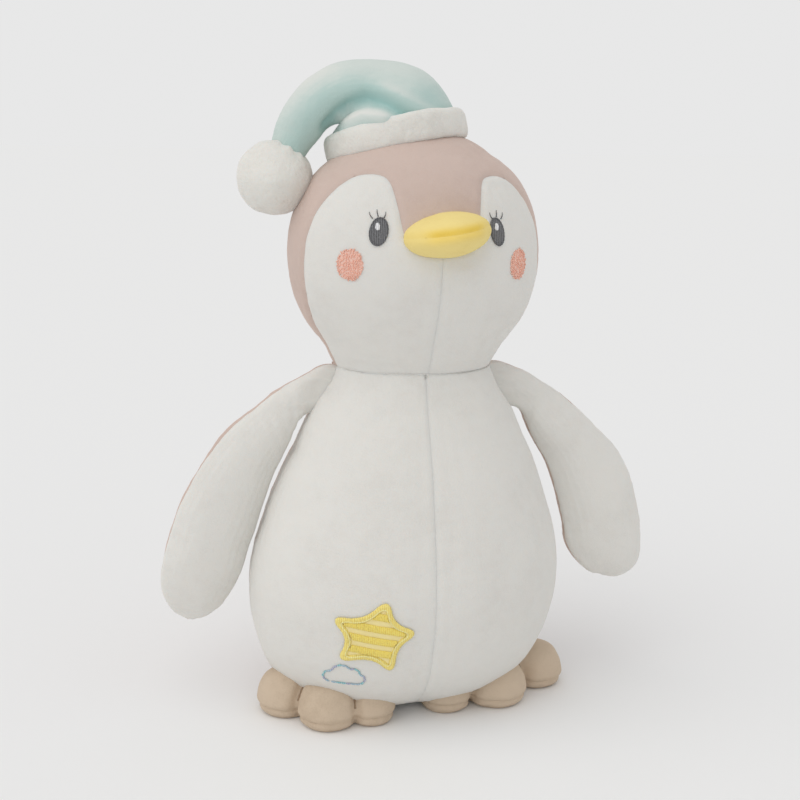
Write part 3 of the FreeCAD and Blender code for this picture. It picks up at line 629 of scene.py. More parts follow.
def dress(ob, mat, body, slot, *nodes, fill=None, ride=True):
    ob.data.materials.append(mat)
    if ride:
        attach(ob, body)
    if nodes:
        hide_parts(*nodes)
    return ob


# ------------------------------------------------------------------ torso
def torso_centre(z):
    k = np.clip(1.0 - z / 34.0, 0, 1)
    return -1.5 + 4.0 * np.clip(z / 110.0, 0, 1), BASE_BACK * k * k


TOP_Z = 147.0


def torso_rows(n):
    """profile from the middle of the base, round the side and over the collar: (v, z, share of a and b, extra)"""
    parts = []
    m = max(6, n // 9)
    for k in np.linspace(0.06, 0.985, m):
        parts.append(("base", 0.0, k))
    zz = np.concatenate([[0.15, 0.5, 1.1], np.linspace(2, TOP_Z, n)])
    for z in zz:
        parts.append(("side", z, 1.0))
    for i, ang in enumerate(np.linspace(0.2, 1.0, 4)):
        parts.append(("lip", ang, 1.0))
    for z in (144.0, 141.0, 138.5):
        parts.append(("dish", z, 1.0))
    return parts


def torso_points(parts, phi):
    P = np.zeros((len(parts), len(phi), 3))
    c, s = np.sin(phi), -np.cos(phi)
    for i, (kind, z, k) in enumerate(parts):
        if kind == "base":
            cx, cy = torso_centre(0.0)
            a, b = spline(TORSO[:, 0], TORSO[:, 1:], np.array([0.0]))[0]
            rim = smooth01((k - 0.85) / 0.15) * 0.0
            P[i] = np.stack([cx + a * k * c, cy + b * k * s, np.full(len(phi), 0.0 + rim)], 1)
        elif kind == "side":
            cx, cy = torso_centre(z)
            a, b = spline(TORSO[:, 0], TORSO[:, 1:], np.array([z]))[0]
            P[i] = np.stack([cx + a * c, cy + b * s, np.full(len(phi), z)], 1)
        elif kind == "lip":
            a, b = TORSO[-1, 1:]
            cx, cy = torso_centre(TOP_Z)
            r = 0.8
            t = z * math.pi / 2
            P[i] = np.stack([cx + (a - r + r * math.cos(t)) * c, cy + (b - r + r * math.cos(t)) * s, np.full(len(phi), TOP_Z + r * math.sin(t) - 0.3)], 1)
        else:
            r = math.sqrt(max((BOWL_R + 0.6) ** 2 - (PIVOT[2] - z) ** 2, 0.01))
            a, b = TORSO[-1, 1:]
            q = min(r, a - 1.2)
            P[i] = np.stack([PIVOT[0] + q * c, PIVOT[1] + min(r, b - 1.2) * s, np.full(len(phi), z)], 1)
    return P


def torso_seams(v):
    x, y, z = v[:, 0], v[:, 1], v[:, 2]
    return x - FRONT_X, y - SIDE_Y, z - BASE_TOP


phi_c = np.linspace(0, 2 * np.pi, 72, endpoint=False)
parts_c = torso_rows(30)
Pc = torso_points(parts_c, phi_c)
flatP = Pc.reshape(-1, 3)
sx, sy, sz = torso_seams(flatP)
pin = ((np.abs(sx) < 2.6) & (flatP[:, 1] < SIDE_Y) & (flatP[:, 2] > 5)) | (np.abs(sy) < 2.6) | (flatP[:, 2] < 6) | (flatP[:, 2] > 143)
D_torso = puff("torso", Pc, pin.reshape(Pc.shape[:2]), cap=1.6)
D_torso = soften(D_torso, 1)

phi_d = np.linspace(0, 2 * np.pi, 440, endpoint=False)
parts_d = torso_rows(168)
Pd = torso_points(parts_d, phi_d)
rows_d, cols_d = Pd.shape[:2]
# where each dense row lies between the coarse rows
key_c = np.array([(-1 + k) if kind == "base" else z if kind == "side" else (TOP_Z + 1 + z) if kind == "lip" else (TOP_Z + 3 + (144.0 - z)) for kind, z, k in parts_c])
key_d = np.array([(-1 + k) if kind == "base" else z if kind == "side" else (TOP_Z + 1 + z) if kind == "lip" else (TOP_Z + 3 + (144.0 - z)) for kind, z, k in parts_d])
vv = np.interp(key_d, key_c, np.linspace(0, 1, len(key_c)))
vd = Pd.reshape(-1, 3)
ends = np.array([[torso_centre(0)[0], torso_centre(0)[1], 0.0], [PIVOT[0], 0, 137.5]])
U = np.tile(phi_d / (2 * np.pi), rows_d)
W = np.repeat(vv, cols_d)
torso = Skin(np.concatenate([vd, ends]), grid(rows_d, cols_d), u=np.concatenate([U, [0, 0]]), w=np.concatenate([W, [0, 1]]))
s_base = torso.snap(torso.v[:, 2] - BASE_TOP)
s_side = torso.snap(np.where(torso.v[:, 2] > 0.0, torso.v[:, 1] - SIDE_Y, 1.0), fixed=(s_base == 0))
above = s_base >= 0
s_mid = torso.snap(np.where(torso.v[:, 1] < SIDE_Y + 0.2, torso.v[:, 0] - FRONT_X, 9.0), fixed=(s_base == 0) | (s_side == 0))
tri_base = face_side(s_base, torso.t) < 0
tri_back = face_side(s_side, torso.t) > 0
tri_left = face_side(s_mid, torso.t) > 0
outer = torso.v[:, 2] < TOP_Z
nrm = torso.normals()
dd = sample(D_torso, torso.x["u"], torso.x["w"])
dd[-2:] = 0
torso.v += dd
on_mid = (s_mid == 0) & (s_base >= 0) & (s_side <= 0) & (torso.v[:, 1] < 0)
on_side = (s_side == 0) & (s_base >= 0)
on_base = (s_base == 0)
d_mid = line_distance(torso, on_mid, 14)
d_side = line_distance(torso, on_side, 14)
d_base = line_distance(torso, on_base, 10)
pucker = 1 + 0.35 * noise3(torso.v, 3.2, 11)


def groove(d, depth, width, puffing=0.25, reach=6.0):
    return -depth * np.exp(-(d / width) ** 2) + puffing * depth * np.exp(-((d - width * 2.4) / (width * 1.6)) ** 2)


free = smooth01((torso.v[:, 2] - 1.0) / 3.0) * (torso.v[:, 2] < TOP_Z + 1)
h = groove(d_mid, 0.30, 1.1) * pucker * smooth01((147 - torso.v[:, 2]) / 7) + groove(d_side, 0.9, 1.6) * pucker + groove(d_base, 0.7, 1.4) * pucker
# soft creases over the belly, as the stuffing pulls the velour
v = torso.v
belly = np.clip(-v[:, 1] / 40.0, 0, 1)
h += belly * (0.30 * noise3(v * [1, 1, 1.8], 17, 21) + 0.12 * noise3(v * [1.0, 1, 1.6], 8, 22))
h += 0.3 * noise3(v, 26, 23) + 0.05 * noise3(v, 3.4, 24) + 0.04 * noise3(v, 1.4, 25)
torso.v += nrm * (h * free)[:, None]
torso.v[:, 2] = np.maximum(torso.v[:, 2], 0.0)
nrm = torso.normals()
torso_bvh = bvh_of(torso)

o = panel("torso_front_right", torso, ~tri_base & ~tri_back & ~tri_left, nrm)
dress(o, M_WHITE, "torso", "white_velour", "body_front_right", fill=0.8)
o = panel("torso_front_left", torso, ~tri_base & ~tri_back & tri_left, nrm)
dress(o, M_WHITE, "torso", "white_velour", "body_front_left", "body_filling", fill=0.8)
o = panel("torso_back", torso, ~tri_base & tri_back, nrm)
dress(o, M_PINK, "torso", "pink_velour", "body_back_panel", "neck_collar", "neck_plug", fill=0.8)
o = panel("torso_base", torso, tri_base, nrm)
dress(o, M_WHITE, "torso", "white_velour", "body_base_panel", "pellet_pouch", "pouch_pellets", fill=0.8)


# ------------------------------------------------------------------ head
def head_radii(z):
    ab = spline(HEAD[:, 0], HEAD[:, 1:], z)
    rs = np.sqrt(np.maximum(BOWL_R ** 2 - (PIVOT[2] - z) ** 2, 0.0))
    low = z < 158.5
    for k in range(2):
        ab[:, k] = np.where(low, np.minimum(ab[:, k], rs), ab[:, k])
    return ab


def head_points(zs, phi):
    ab = head_radii(zs)
    c, s = np.sin(phi), -np.cos(phi)
    P = np.zeros((len(zs), len(phi), 3))
    P[:, :, 0] = HEAD_X + ab[:, 0:1] * c[None]
    P[:, :, 1] = ab[:, 1:2] * s[None]
    P[:, :, 2] = zs[:, None]
    return P


def face_line(v):
    """signed distance-like number: below zero inside the white face"""
    x, y, z = v[:, 0] - HEAD_X, v[:, 1], v[:, 2]
    a = spline(HEAD[:, 0], HEAD[:, 1], z)
    b = spline(HEAD[:, 0], HEAD[:, 2], z)
    ph = np.degrees(np.arctan2(np.abs(x) / np.maximum(a, 1), -y / np.maximum(b, 1)))
    return ph, z


def poly_distance(px, pz, poly):
    """signed distance to a closed outline, negative inside"""
    n = len(poly)
    best = np.full(len(px), 1e9)
    inside = np.zeros(len(px), bool)
    for i in range(n):
        x0, z0 = poly[i]
        x1, z1 = poly[(i + 1) % n]
        dx, dz = x1 - x0, z1 - z0
        t = np.clip(((px - x0) * dx + (pz - z0) * dz) / (dx * dx + dz * dz + 1e-12), 0, 1)
        best = np.minimum(best, np.hypot(px - x0 - t * dx, pz - z0 - t * dz))
        cross = ((z0 > pz) != (z1 > pz)) & (px < (x1 - x0) * (pz - z0) / (z1 - z0 + 1e-12) + x0)
        inside ^= cross
    return np.where(inside, -best, best)


def rounded(pts, times=2):
    p = np.array(pts, float)
    for _ in range(times):
        q = []
        for i in range(len(p) - 1):
            q.append(p[i] * 0.75 + p[i + 1] * 0.25)
            q.append(p[i] * 0.25 + p[i + 1] * 0.75)
        p = np.array([p[0]] + q + [p[-1]])
    return p


# the face outline in (arc length round the head, height) at a mean radius of 48
ARC = 48.0 * math.pi / 180
fl = rounded([(ph * ARC, z) for ph, z in FACE])
face_poly = [(-3.0, 100.0), (-3.0, fl[0][1])] + [tuple(p) for p in fl] + [(90 * ARC, 100.0)]


def face_field(v):
    ph, z = face_line(v)
    return poly_distance(ph * ARC, z, face_poly)


zc = np.concatenate([np.linspace(133.4, 238, 27)])
phc = np.linspace(0, 2 * np.pi, 64, endpoint=False)
Hc = head_points(zc, phc)
fh = Hc.reshape(-1, 3)
ff = face_field(fh)
pin = (np.abs(ff) < 2.2) | ((np.abs(fh[:, 0] - HEAD_X) < 2.2) & (fh[:, 1] < 0) & (fh[:, 2] < 197)) | (np.abs(fh[:, 1] - SIDE_Y) < 2.0) | (fh[:, 2] > 232) | (fh[:, 2] < 150)
D_head = soften(puff("head", Hc, pin.reshape(Hc.shape[:2]), cap=1.2), 1)

zd = np.concatenate([np.linspace(132.9, 136, 6)[:-1], np.linspace(136, 238, 128)[:-1], np.linspace(238, 243.8, 10)])
phd = np.linspace(0, 2 * np.pi, 380, endpoint=False)
Hd = head_points(zd, phd)
rd, cd = Hd.shape[:2]
head = Skin(np.concatenate([Hd.reshape(-1, 3), [[HEAD_X, 0, 132.5], [HEAD_X, 0, 244.2]]]), grid(rd, cd),
            u=np.concatenate([np.tile(phd / (2 * np.pi), rd), [0, 0]]),
            w=np.concatenate([np.repeat((zd - zc[0]) / (zc[-1] - zc[0]), cd), [0, 1]]))
s_face = head.snap(face_field(head.v))
s_hmid = head.snap(np.where(head.v[:, 1] < 0, head.v[:, 0] - HEAD_X, np.where(head.v[:, 1] > SIDE_Y - 2, head.v[:, 0] - HEAD_X, 5.0)), fixed=(s_face == 0))
s_hside = head.snap(head.v[:, 1] - SIDE_Y, fixed=(s_face == 0))
ft = face_side(s_face, head.t) < 0
ht_left = face_side(s_hmid, head.t) > 0
ht_back = face_side(s_hside, head.t) > 0
hn = head.normals()
dd = sample(D_head, head.x["u"], head.x["w"])
fade = smooth01((236 - head.v[:, 2]) / 6) * smooth01((head.v[:, 2] - 148) / 6)
head.v += dd * fade[:, None]
on_face = (s_face == 0)
on_chin = (s_hmid == 0) & (s_face <= 0) & (head.v[:, 1] < 0)
on_hside = (s_hside == 0) & (s_face > 0)
on_hback = (s_hmid == 0) & (head.v[:, 1] > SIDE_Y)
d_face = line_distance(head, on_face, 12)
d_chin = line_distance(head, on_chin, 12)
d_hs = line_distance(head, on_hside, 10)
d_hb = line_distance(head, on_hback, 10)
pk = 1 + 0.35 * noise3(head.v, 3.0, 31)
hh = groove(d_face, 0.5, 1.1, 0.35) * pk + groove(d_chin, 0.16, 1.1) * pk + groove(d_hs, 0.8, 1.4) * pk + groove(d_hb, 0.8, 1.4) * pk
low = smooth01((head.v[:, 2] - 146) / 8)
hh += (0.4 * noise3(head.v, 24, 33) + 0.12 * noise3(head.v, 9, 34)) * low + 0.045 * noise3(head.v, 3.2, 35) + 0.035 * noise3(head.v, 1.4, 36)
hh *= 0.25 + 0.75 * low
head.v += hn * hh[:, None]
hn = head.normals()
head_bvh = bvh_of(head)

o = panel("face_right", head, ft & ~ht_left, hn)
dress(o, M_WHITE, "head", "white_velour", "face_panel_right", fill=0.85)
o = panel("face_left", head, ft & ht_left, hn)
dress(o, M_WHITE, "head", "white_velour", "face_panel_left", "head_filling", fill=0.85)
o = panel("hood_front", head, ~ft & ~ht_back, hn)
dress(o, M_PINK, "head", "pink_velour", "hood_front_panel", fill=0.85)
o = panel("hood_back_right", head, ~ft & ht_back & ~ht_left, hn)
dress(o, M_PINK, "head", "pink_velour", "head_back_right", fill=0.85)
o = panel("hood_back_left", head, ~ft & ht_back & ht_left, hn)
dress(o, M_PINK, "head", "pink_velour", "head_back_left", fill=0.85)


# ------------------------------------------------------------------ laying embroidery on the fabric
def land(bvh, x, z, lift=0.0, y0=-120.0):
    """points of the surface met from the front at (x, z), and the surface normals there"""
    P, Nn = [], []
    d = Vector((0, 1, 0))
    for a, b in zip(x, z):
        hit = bvh.ray_cast(Vector((a, y0, b)), d)
        if hit[0] is None:
            P.append((a, -40.0, b))
            Nn.append((0, -1, 0))
        else:
            n = hit[1]
            if n.y > 0:
                n = -n
            P.append(tuple(hit[0]))
            Nn.append(tuple(n))
    P, Nn = np.array(P, float), unit(np.array(Nn, float))
    return P + Nn * (np.asarray(lift)[..., None] if np.ndim(lift) else lift), Nn


def smooth_normals(Nn, P, radius=2.0):
    """even out the fabric's fine bumps under a patch"""
    m = unit(Nn.mean(0))
    return unit(Nn * 0.35 + m * 0.65)


def tube(pts, r, n=6, name=None, flat=1.0, nrm=None):
    """vertices and quads of a tube with closed ends; r per point"""
    pts = np.asarray(pts, float)
    k = len(pts)
    r = np.broadcast_to(np.asarray(r, float), (k,))
    tan = np.gradient(pts, axis=0)
    tan = unit(tan)
    ref = np.array(nrm, float) if nrm is not None else np.tile([0.0, -1.0, 0.15], (k, 1))
    if ref.ndim == 1:
        ref = np.tile(ref, (k, 1))
    a = unit(ref - (ref * tan).sum(1)[:, None] * tan)
    b = np.cross(tan, a)
    ang = np.linspace(0, 2 * np.pi, n, endpoint=False)
    v = (pts[:, None] + (a[:, None] * np.cos(ang)[None, :, None] * flat + b[:, None] * np.sin(ang)[None, :, None]) * r[:, None, None]).reshape(-1, 3)
    i, j = np.meshgrid(np.arange(k - 1), np.arange(n), indexing="ij")
    p0, p1 = i * n + j, i * n + (j + 1) % n
    q0, q1 = p0 + n, p1 + n
    t = np.concatenate([np.stack([p0, p1, q1], -1).reshape(-1, 3), np.stack([p0, q1, q0], -1).reshape(-1, 3)])
    v = np.concatenate([v, pts[:1] - tan[:1] * r[0] * 0.6, pts[-1:] + tan[-1:] * r[-1] * 0.6])
    jj = np.arange(n)
    c0, c1 = k * n, k * n + 1
    t = np.concatenate([t, np.stack([np.full(n, c0), (jj + 1) % n, jj], 1), np.stack([np.full(n, c1), (k - 1) * n + jj, (k - 1) * n + (jj + 1) % n], 1)])
    return v, t


def many(name, items):
    V, T, base = [], [], 0
    for v_, t_ in items:
        V.append(v_)
        T.append(t_ + base)
        base += len(v_)
    return make_object(name, np.concatenate(V), np.concatenate(T))


def satin(name, bvh, inside, x0, x1, z0, z1, pitch, angle, r, lift, wobble=0.12, crown=0.0):
    """satin stitch: parallel threads laid edge to edge across an outline. inside(x, z) < 0 within it"""
    ca, sa = math.cos(angle), math.sin(angle)
    cx, cz = (x0 + x1) / 2, (z0 + z1) / 2
    R = 0.5 * math.hypot(x1 - x0, z1 - z0) + 1
    items = []
    n = int(2 * R / pitch)
    for i in range(n):
        off = -R + (i + 0.5) * pitch
        s = np.arange(-R, R, 0.12)
        x = cx + s * ca - off * sa
        z = cz + s * sa + off * ca
        m = inside(x, z) < 0
        if not m.any():
            continue
        idx = np.nonzero(m)[0]
        for run in np.split(idx, np.nonzero(np.diff(idx) > 1)[0] + 1):
            if len(run) < 4:
                continue
            a, b = s[run[0]] - rng.uniform(0, wobble), s[run[-1]] + rng.uniform(0, wobble)
            k = max(4, min(14, int((b - a) / 0.7) + 3))
            t = np.linspace(a, b, k)
            px, pz = cx + t * ca - off * sa, cz + t * sa + off * ca
            rise = lift + crown * np.sin(np.linspace(0, np.pi, k)) - 0.35 * r * (np.abs(np.linspace(-1, 1, k)) > 0.98)
            P, Nn = land(bvh, px, pz, rise)
            items.append(tube(P, r, n=6, nrm=smooth_normals(Nn, P), flat=0.8))
    return many(name, items)


def oval_field(cx, cz, a, b, tilt):
    t0 = math.radians(tilt)

    def f(x, z):
        dx, dz = np.asarray(x) - cx, np.asarray(z) - cz
        p = dx * math.cos(t0) + dz * math.sin(t0)
        q = -dx * math.sin(t0) + dz * math.cos(t0)
        return np.sqrt((p / a) ** 2 + (q / b) ** 2) - 1
    return f


# the eye's width across is shortened as it lies on the head's curve, so outlines are given as seen from the front
for side, name in ((-1, "right"), (1, "left")):
    ex = HEAD_X + side * (23.6 if side < 0 else 22.6)
    ez = 204.6
    ea, tilt = (3.2, -14) if side < 0 else (2.85, 11)
    f_out = oval_field(ex, ez, ea, 5.25, tilt)
    o = satin("eye_%s_thread" % name, head_bvh, f_out, ex - 4, ex + 4, ez - 6, ez + 6, 0.42, math.radians(78 + side * 6), 0.26, 0.22, crown=0.2)
    dress(o, M_GREY, "head", "grey_thread", "eye_" + name)
    # outline cord round the eye
    th = np.linspace(0, 2 * np.pi, 64)
    t0 = math.radians(tilt)
    rx, rz = (ea - 0.1) * np.cos(th), 5.15 * np.sin(th)
    P, Nn = land(head_bvh, ex + rx * math.cos(t0) - rz * math.sin(t0), ez + rx * math.sin(t0) + rz * math.cos(t0), 0.32)
    rr = 0.34 + 0.05 * np.sin(th * 23)
    o = many("eye_%s_edge" % name, [tube(P, rr, n=7, nrm=smooth_normals(Nn, P))])
    dress(o, M_LASH, "head", "grey_thread")
    gx = ex + (-0.3 if side < 0 else -0.5)
    o = satin("eye_%s_glint" % name, head_bvh, oval_field(gx, 206.4, 0.8, 1.35, 0), gx - 1.5, gx + 1.5, 204.5, 208.5, 0.3, math.radians(80), 0.2, 0.75)
    dress(o, M_GLINT, "head", "white_thread", "eye_glint_" + name)
    items = []
    for dx, dz, ux, uz, bend in ((2.0, 4.8, 3.0, 7.2, 0.3), (0.0, 5.6, 0.2, 8.1, 0.1), (-1.9, 5.0, -2.8, 7.3, -0.3)):
        t = np.linspace(0, 1, 9)
        lx = ex + side * (dx + (ux - dx) * t + bend * np.sin(np.pi * t))
        lz = ez + dz + (uz - dz) * t
        P, Nn = land(head_bvh, lx, lz, 0.16)
        items.append(tube(P, 0.24 - 0.14 * t, n=6, nrm=smooth_normals(Nn, P)))
    o = many("lashes_%s_thread" % name, items)
    dress(o, M_LASH, "head", "grey_thread", "lashes_" + name)
    # cheek: a soft coral ground under seed stitches
    cxk, czk = HEAD_X + side * (33.6 if side < 0 else 33.0), 191.8
    ca = 4.6 if side < 0 else 4.0
    na, nr = 56, 9
    A_, R_ = np.meshgrid(np.linspace(0, 2 * np.pi, na, endpoint=False), np.linspace(0.12, 1, nr))
    wob = 1 + 0.035 * np.sin(A_ * 9 + 1) + 0.025 * np.sin(A_ * 17)
    X = (cxk + ca * R_ * wob * np.cos(A_)).ravel()
    Z = (czk + 6.2 * R_ * wob * np.sin(A_)).ravel()
    P, Nn = land(head_bvh, X, Z, (0.26 * (1 - smooth01((R_ - 0.82) / 0.18)) - 0.06).ravel())
    gt = grid(nr, na, close_lo=True, close_hi=False)
    Pm, _ = land(head_bvh, [cxk], [czk], 0.2)
    o = make_object("cheek_%s_ground" % name, np.concatenate([P, Pm]), gt[:, ::-1] if side else gt)
    dress(o, M_CORAL, "head", "coral_thread", "cheek_" + name)
    items = []
    placed = []
    for _ in range(2600):
        q = rng.uniform(-1, 1, 2)
        if q[0] ** 2 + q[1] ** 2 > 0.93:
            continue
        w = np.array([q[0] * ca, q[1] * 6.2])
        if placed and np.min(np.hypot(*(np.array(placed) - w).T)) < 0.72:
            continue
        placed.append(w)
        ang = rng.uniform(0, np.pi)
        L_ = rng.uniform(0.45, 0.75)
        t = np.array([-1, -0.35, 0.35, 1]) * L_
        P, Nn = land(head_bvh, cxk + w[0] + t * math.cos(ang) * 0.8, czk + w[1] + t * math.sin(ang), np.array([0.12, 0.36, 0.36, 0.12]))
        items.append(tube(P, [0.16, 0.24, 0.24, 0.16], n=5, nrm=Nn.mean(0)))
    o = many("cheek_%s_stitches" % name, items)
    dress(o, M_CORAL2, "head", "coral_thread")


# ------------------------------------------------------------------ star and cloud on the belly
def star_outline(k_tip, k_notch, times=3):
    p = []
    for t, n in zip(STAR_TIPS, STAR_NOTCH):
        t, n = np.array(t), np.array(n)
        p.append(STAR_C + (t - STAR_C) * k_tip)
        p.append(STAR_C + (n - STAR_C) * k_notch)
    p = np.array(p)
    for _ in range(times):
        q = []
        for i in range(len(p)):
            a, b = p[i], p[(i + 1) % len(p)]
            q += [a * 0.75 + b * 0.25, a * 0.25 + b * 0.75]
        p = np.array(q)
    return p


def loop_resample(p, step):
    q = np.concatenate([p, p[:1]])
    s = np.concatenate([[0], np.cumsum(np.hypot(*np.diff(q, axis=0).T))])
    n = max(8, int(s[-1] / step))
    t = np.linspace(0, s[-1], n, endpoint=False)
    return np.stack([np.interp(t, s, q[:, 0]), np.interp(t, s, q[:, 1])], 1)


star_o = star_outline(1.18, 0.85)
star_m = star_outline(1.02, 0.73)
star_i = star_outline(0.93, 0.65)
so = [tuple(p) for p in star_o]
si = [tuple(p) for p in star_i]
# felt ground, with a fine grid inside the outline
xs, zs = np.meshgrid(np.arange(-38.5, -5.5, 0.55), np.arange(29, 63, 0.55))
gx_, gz_ = xs.ravel(), zs.ravel()
df = poly_distance(gx_, gz_, [tuple(p) for p in star_m])
keep = df < 0.3
idx = -np.ones(len(gx_), int)
idx[keep] = np.arange(keep.sum())
P, Nn = land(torso_bvh, gx_[keep], gz_[keep], 0.5 + 0.06 * noise3(np.stack([gx_[keep], gx_[keep] * 0, gz_[keep]], 1), 1.6, 51))
r_, c_ = xs.shape
ii, jj = np.meshgrid(np.arange(r_ - 1), np.arange(c_ - 1), indexing="ij")
q = np.stack([ii * c_ + jj, ii * c_ + jj + 1, (ii + 1) * c_ + jj + 1, (ii + 1) * c_ + jj], -1).reshape(-1, 4)
q = idx[q]
q = q[(q >= 0).all(1)]
o = make_object("star_ground", P, q)
dress(o, M_FELT, "torso", "yellow_felt", "star_applique")
# satin stripes that slope down to the right
slope = math.radians(-10)


def stripe_field(x, z):
    d = poly_distance(np.asarray(x), np.asarray(z), si)
    h_ = (np.asarray(z) - 46.5) * math.cos(slope) - (np.asarray(x) + 22.6) * math.sin(slope)
    band = np.abs(((h_ + 1.3) / 5.3) - np.round((h_ + 1.3) / 5.3)) * 5.3 - 1.45
    return np.maximum(d, band)


o = satin("star_stripe_stitching", torso_bvh, stripe_field, -38, -7, 30, 62, 0.46, slope + math.pi / 2, 0.27, 0.75, crown=0.25)
dress(o, M_STRIPE, "torso", "yellow_thread", "star_stripes")
# satin border: short threads laid across the outline
ring_o = loop_resample(star_o, 0.5)
cen = star_m
items = []
tan = np.roll(ring_o, -1, 0) - np.roll(ring_o, 1, 0)
tan = unit(tan)
nor = np.stack([-tan[:, 1], tan[:, 0]], 1)
if ((STAR_C - ring_o[0]) * nor[0]).sum() < 0:
    nor = -nor
for i in range(len(ring_o)):
    a = ring_o[i] - nor[i] * rng.uniform(0, 0.15)
    b = ring_o[i] + nor[i] * (2.1 + rng.uniform(-0.12, 0.12))
    t = np.linspace(0, 1, 6)
    px, pz = a[0] + (b[0] - a[0]) * t, a[1] + (b[1] - a[1]) * t
    P, Nn = land(torso_bvh, px, pz, 0.35 + 0.7 * np.sin(np.pi * (0.08 + 0.84 * t)))
    items.append(tube(P, 0.3, n=6, nrm=smooth_normals(Nn, P), flat=0.9))
o = many("star_border_stitching", items)
dress(o, M_BORDER, "torso", "yellow_thread", "star_satin_border")
# a pale twisted line where the border meets the felt
line = loop_resample(star_outline(1.0, 0.71), 0.35)
line = np.concatenate([line, line[:1]])
P, Nn = land(torso_bvh, line[:, 0], line[:, 1], 1.0)
o = many("star_inner_line", [tube(P, 0.30 + 0.07 * np.sin(np.arange(len(P)) * 2.2), n=6, nrm=smooth_normals(Nn, P))])
dress(o, M_INNERLINE, "torso", "yellow_thread")
# cloud outline in running stitches
cl = loop_resample(np.array(CLOUD) * [0.86, 1.0] + [-5.7, 0.6], 0.2)
items = {0: [], 1: [], 2: []}
step = 9
for k, i in enumerate(range(0, len(cl) - step, step)):
    seg = cl[i:i + step + 1]
    P, Nn = land(torso_bvh, seg[:, 0], seg[:, 1], 0.22 + 0.12 * np.sin(np.linspace(0, np.pi, len(seg))))
    n_ = len(seg)
    items[(k * 7 // 3) % 3].append(tube(P, 0.42 - 0.16 * np.abs(np.linspace(-1, 1, n_)) ** 3, n=6, nrm=smooth_normals(Nn, P), flat=0.75))
for k, (mat, nm) in enumerate(((M_CLOUD, "blue"), (M_CLOUD2, "teal"), (M_CLOUD3, "lavender"))):
    o = many("cloud_stitching_" + nm, items[k])
    dress(o, mat, "torso", "blue_thread", *(["cloud_embroidery"] if k == 0 else []))

# ------------------------------------------------------------------ beak
yb = np.concatenate([np.linspace(-35, -56, 34), np.linspace(-56.4, -61.7, 16)])
ab = np.stack([np.interp(yb, BEAK[::-1, 0], BEAK[::-1, 1]), np.interp(yb, BEAK[::-1, 0], BEAK[::-1, 2])], 1)
ab = spline(-BEAK[:, 0], BEAK[:, 1:], -yb)
pb = np.linspace(0, 2 * np.pi, 120, endpoint=False)
ct, st = math.cos(BEAK_TILT), math.sin(BEAK_TILT)
B = np.zeros((len(yb), len(pb), 3))
for i, (y, (a, b)) in enumerate(zip(yb, ab)):
    px, pz = a * np.cos(pb), b * np.sin(pb)
    B[i] = np.stack([BEAK_X + px * ct - pz * st, np.full(len(pb), y), BEAK_Z + px * st + pz * ct], 1)
beak = Skin(np.concatenate([B.reshape(-1, 3), [[BEAK_X, -35, BEAK_Z], [BEAK_X, -62.1, BEAK_Z]]]), grid(len(yb), len(pb)))
lz = lambda p: (p[:, 2] - BEAK_Z) * ct - (p[:, 0] - BEAK_X) * st
s_bk = beak.snap(lz(beak.v) - 1.2)
bn = beak.normals()
if (bn[:len(pb)] * (beak.v[:len(pb)] - [BEAK_X, -40, BEAK_Z])).sum() < 0:
    beak.t = beak.t[:, ::-1]
    bn = beak.normals()
d_bk = line_distance(beak, s_bk == 0, 10)
b_end = 1 - 0.75 * smooth01((np.abs(beak.v[:, 0] - BEAK_X) - 7.5) / 6.0)
hb = groove(d_bk, 0.45, 1.0, 0.5) * b_end * (1 + 0.25 * noise3(beak.v, 2.6, 61))
hb += 0.25 * noise3(beak.v, 9, 62) + 0.05 * noise3(beak.v, 2.6, 63) + 0.03 * noise3(beak.v, 1.2, 64)
beak.v += bn * hb[:, None]
bn = beak.normals()
up = face_side(s_bk, beak.t) > 0
# painted shade: a deeper yellow along the crease between upper and lower beak, fading towards the ends and weaker below
mottle_dark_and_crease_shade = np.exp(-((d_bk - 0.8) / 2.0) ** 2) * b_end
o = panel("beak_top", beak, up, bn, hem=1.6, attrs={"mottle_dark_and_crease_shade": mottle_dark_and_crease_shade})
dress(o, M_BEAK, "head", "yellow_velour", "beak_upper", fill=0.8)
o = panel("beak_bottom", beak, ~up, bn, hem=1.6, attrs={"mottle_dark_and_crease_shade": mottle_dark_and_crease_shade * 0.55})
dress(o, M_BEAK, "head", "yellow_velour", "beak_lower", "beak_filling", fill=0.8)


# ------------------------------------------------------------------ flippers
def catmull(s, y, q):
    """curve through the stations with even tangents"""
    n = len(s)
    k = np.clip(np.searchsorted(s, q, side="right") - 1, 0, n - 2)
    t = ((q - s[k]) / (s[k + 1] - s[k]))[:, None]
    a, b, c, d = y[np.maximum(k - 1, 0)], y[k], y[k + 1], y[np.minimum(k + 2, n - 1)]
    return 0.5 * (2 * b + (c - a) * t + (2 * a - 5 * b + 4 * c - d) * t * t + (3 * b - a - 3 * c + d) * t ** 3)


